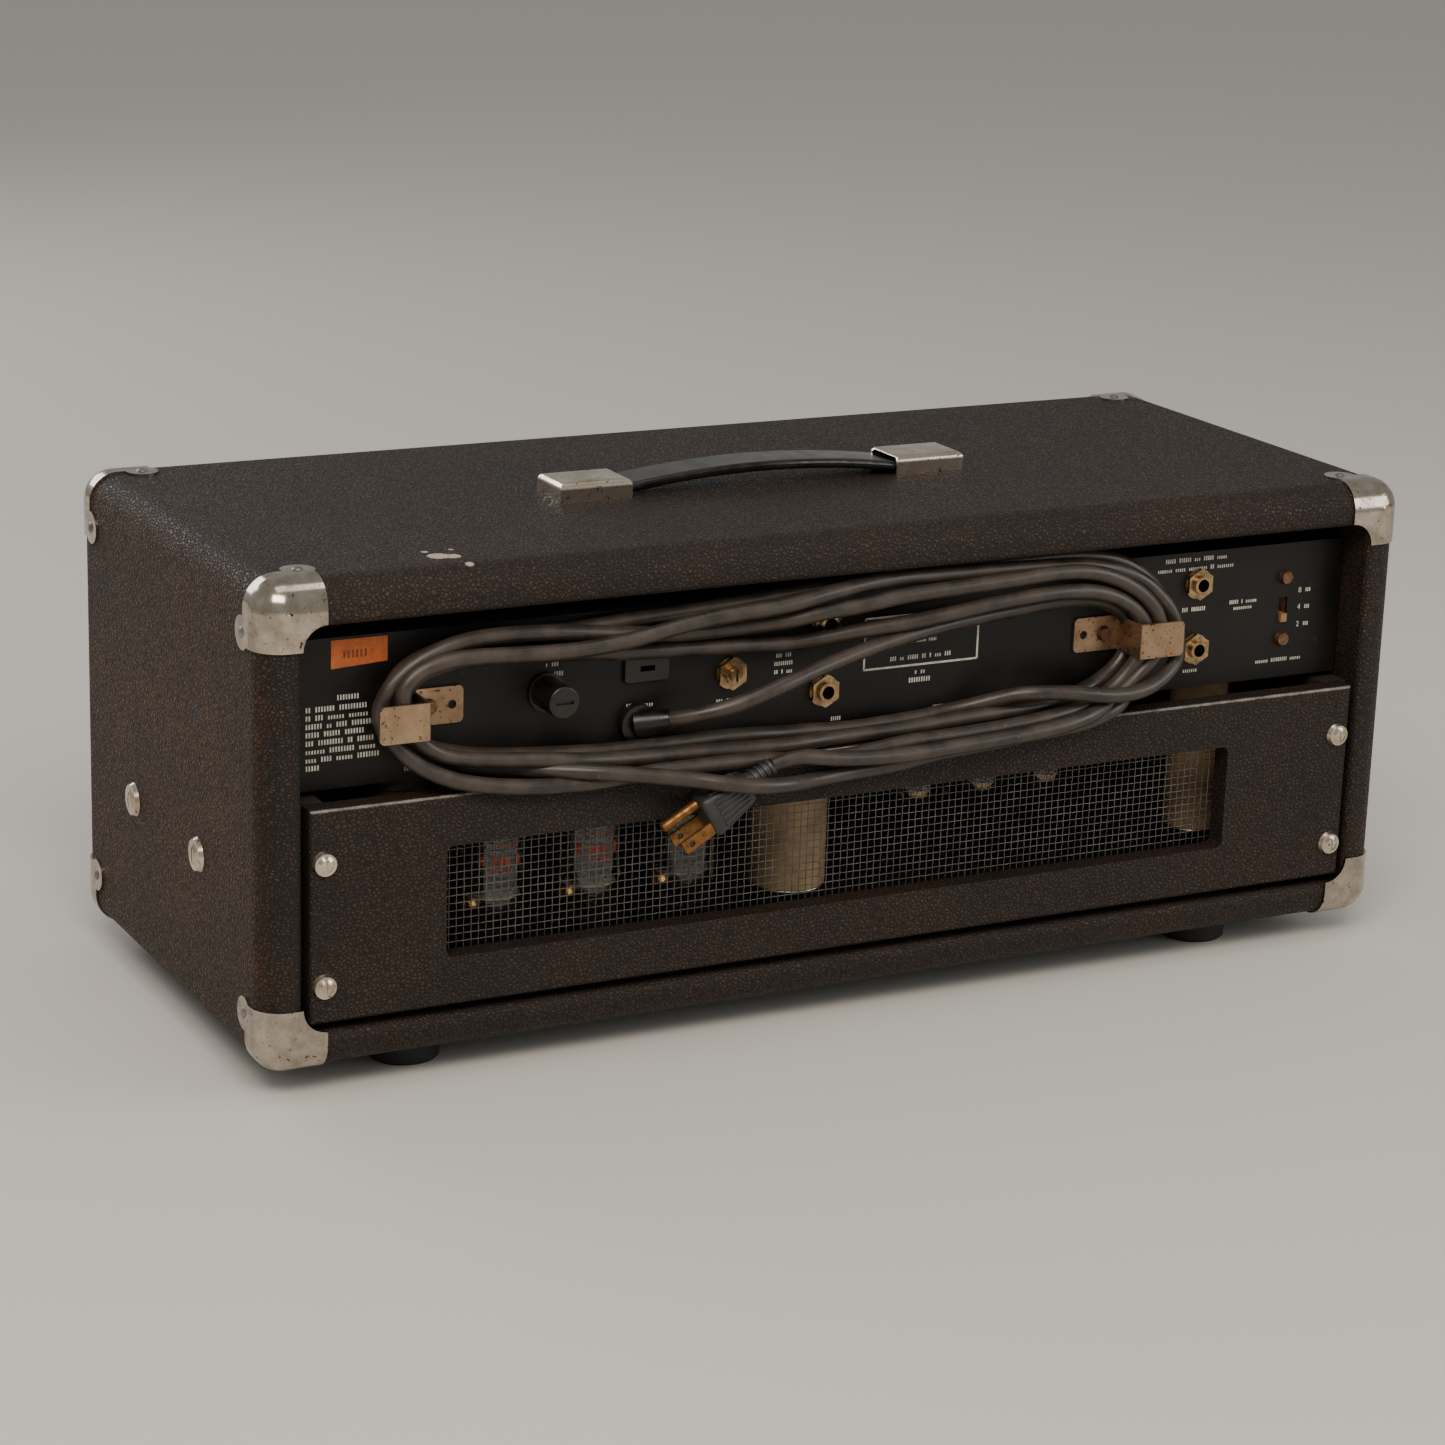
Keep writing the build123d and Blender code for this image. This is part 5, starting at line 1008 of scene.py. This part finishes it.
def make_nails():
    """Two nails in each corner protector, one in each ear."""
    bm = bmesh.new()
    for sx in (-1, 1):
        for y in (EAR_ACROSS - REAR, REAR - EAR_ACROSS):
            for edge, sz in ((TOP, 1), (BASE, -1)):
                on_end = (sx * (HALF + CORNER_SHEET), y, edge - sz * EAR_ALONG)
                on_face = (sx * (HALF - EAR_ALONG), y, edge + sz * CORNER_SHEET)
                lathe(bm, NAIL_LINE, aimed(on_end, (sx, 0, 0)), steps=16)
                lathe(bm, NAIL_LINE, aimed(on_face, (0, 0, sz)), steps=16)
    put("corner_nails", bm, "case", STEEL)


FUSE_WALL = 0.2
FUSE_GLASS = 0.8
FUSE_CAP_LONG = 6.4


def make_fuse():
    """A glass fuse: a tube with a plated cap at each end and a wire between them."""
    low, high = box_mm("fuse")
    radius, long = (high.x - low.x) / 2, high.y - low.y
    at = aimed(((low.x + high.x) / 2, low.y, (low.z + high.z) / 2), (0, 1, 0))
    glass, metal = bmesh.new(), bmesh.new()
    outer, inner = radius - FUSE_WALL, radius - FUSE_WALL - FUSE_GLASS
    lathe(glass, [(outer, 1), (outer, long - 1), (inner, long - 1), (inner, 1), (outer, 1)], at, steps=20)
    for start in (0, long - FUSE_CAP_LONG):
        lathe(metal, rod(radius, start, start + FUSE_CAP_LONG), at, steps=20)
    lathe(metal, rod(0.2, 6, long - 6), at, steps=6)
    put("fuse_tube", glass, "fuse_link", GLASS, ("fuse",))
    put("fuse_caps", metal, "fuse_link", BRIGHT)


CORE_BOLT_IN = 7
BELL_SHARE = 0.27
CORE_BOLT_LINE = [(0, 0), (4.6, 0), (4.6, 3.4), (3.9, 4.2), (0, 4.2)]


def make_core_bolts():
    """Through bolts at the corners of each transformer's laminations, with hexagon heads."""
    bm = bmesh.new()
    for node in ("power_transformer", "output_transformer"):
        low, high = box_mm(node)
        x, y, deep = (low.x + high.x) / 2, (low.y + high.y) / 2, high.y - low.y
        out = deep / 2 - deep * BELL_SHARE + 0.2
        across = (high.x - low.x) / 2 - CORE_BOLT_IN
        for side in (-1, 1):
            for dx in (-across, across):
                for z in (high.z - CORE_BOLT_IN, low.z + CORE_BOLT_IN):
                    lathe(bm, CORE_BOLT_LINE, aimed((x + dx, y + side * out, z), (0, side, 0)), steps=6)
    put("core_bolts", bm, "case", STEEL)


# Each capacitor's x, y, radius and lower end.
CANS = ((10.0, 67.0, 19.5, 52.5), (-232.0, 67.0, 15.0, 53.5))


def make_can_ends():
    """The rolled rim, end disc and vent of each electrolytic capacitor."""
    bm = bmesh.new()
    for x, y, radius, low in CANS:
        at = aimed((x, y, low), (0, 0, -1))
        lathe(bm, ring(radius - 0.8, 0.7), at, steps=36)
        rim = radius - 1
        lathe(bm, [(0, 0.05), (rim, 0.05), (rim, 0.35), (3, 0.35), (2.4, 1.1), (0, 1.1)], at, steps=36)
    put("capacitor_ends", bm, "case", BRIGHT)


BOARD_ROWS, BOARD_COLUMNS = 6, 11
BOARD_START = (20, 13)
BOARD_STEPS = (26, 17)
# The three sizes of part, as length and radius: a resistor and two capacitors.
BOARD_PARTS = ((9.5, 1.8), (18.0, 3.4), (14.0, 2.6))
BOARD_CLEAR = 0.1
LEAD_OUT = 4
LEAD_RADIUS = 0.4


def make_board_parts():
    """Resistors and capacitors in rows on the circuit board, each with its two leads."""
    bodies, leads = bmesh.new(), bmesh.new()
    low, high = box_mm("circuit_board")
    for row in range(BOARD_ROWS):
        for column in range(BOARD_COLUMNS):
            x = low.x + BOARD_START[0] + column * BOARD_STEPS[0]
            y = low.y + BOARD_START[1] + row * BOARD_STEPS[1]
            long, radius = BOARD_PARTS[(row + column * 2) % 3]
            at = aimed((x - long / 2, y, high.z + BOARD_CLEAR + radius), (1, 0, 0))
            end = radius * 0.7
            lathe(bodies, [(0, 0), (end, 0), (radius, 1), (radius, long - 1), (end, long), (0, long)], at, 12)
            lathe(leads, rod(LEAD_RADIUS, -LEAD_OUT, long + LEAD_OUT), at, 6)
    put("board_parts", bodies, "case", CARD)
    put("board_leads", leads, "case", BRIGHT)


# ---------------- the whole

make_camera()
make_stage()
finish_cad_nodes()
cord = make_cord()
plug = make_plug()
make_wire_screen()
make_valves()
make_rear_print()
make_label()
make_dials()
make_knob_details()
make_lamp_bezel()
make_grille_cloth()
make_nails()
make_fuse()
make_core_bolts()
make_can_ends()
make_board_parts()
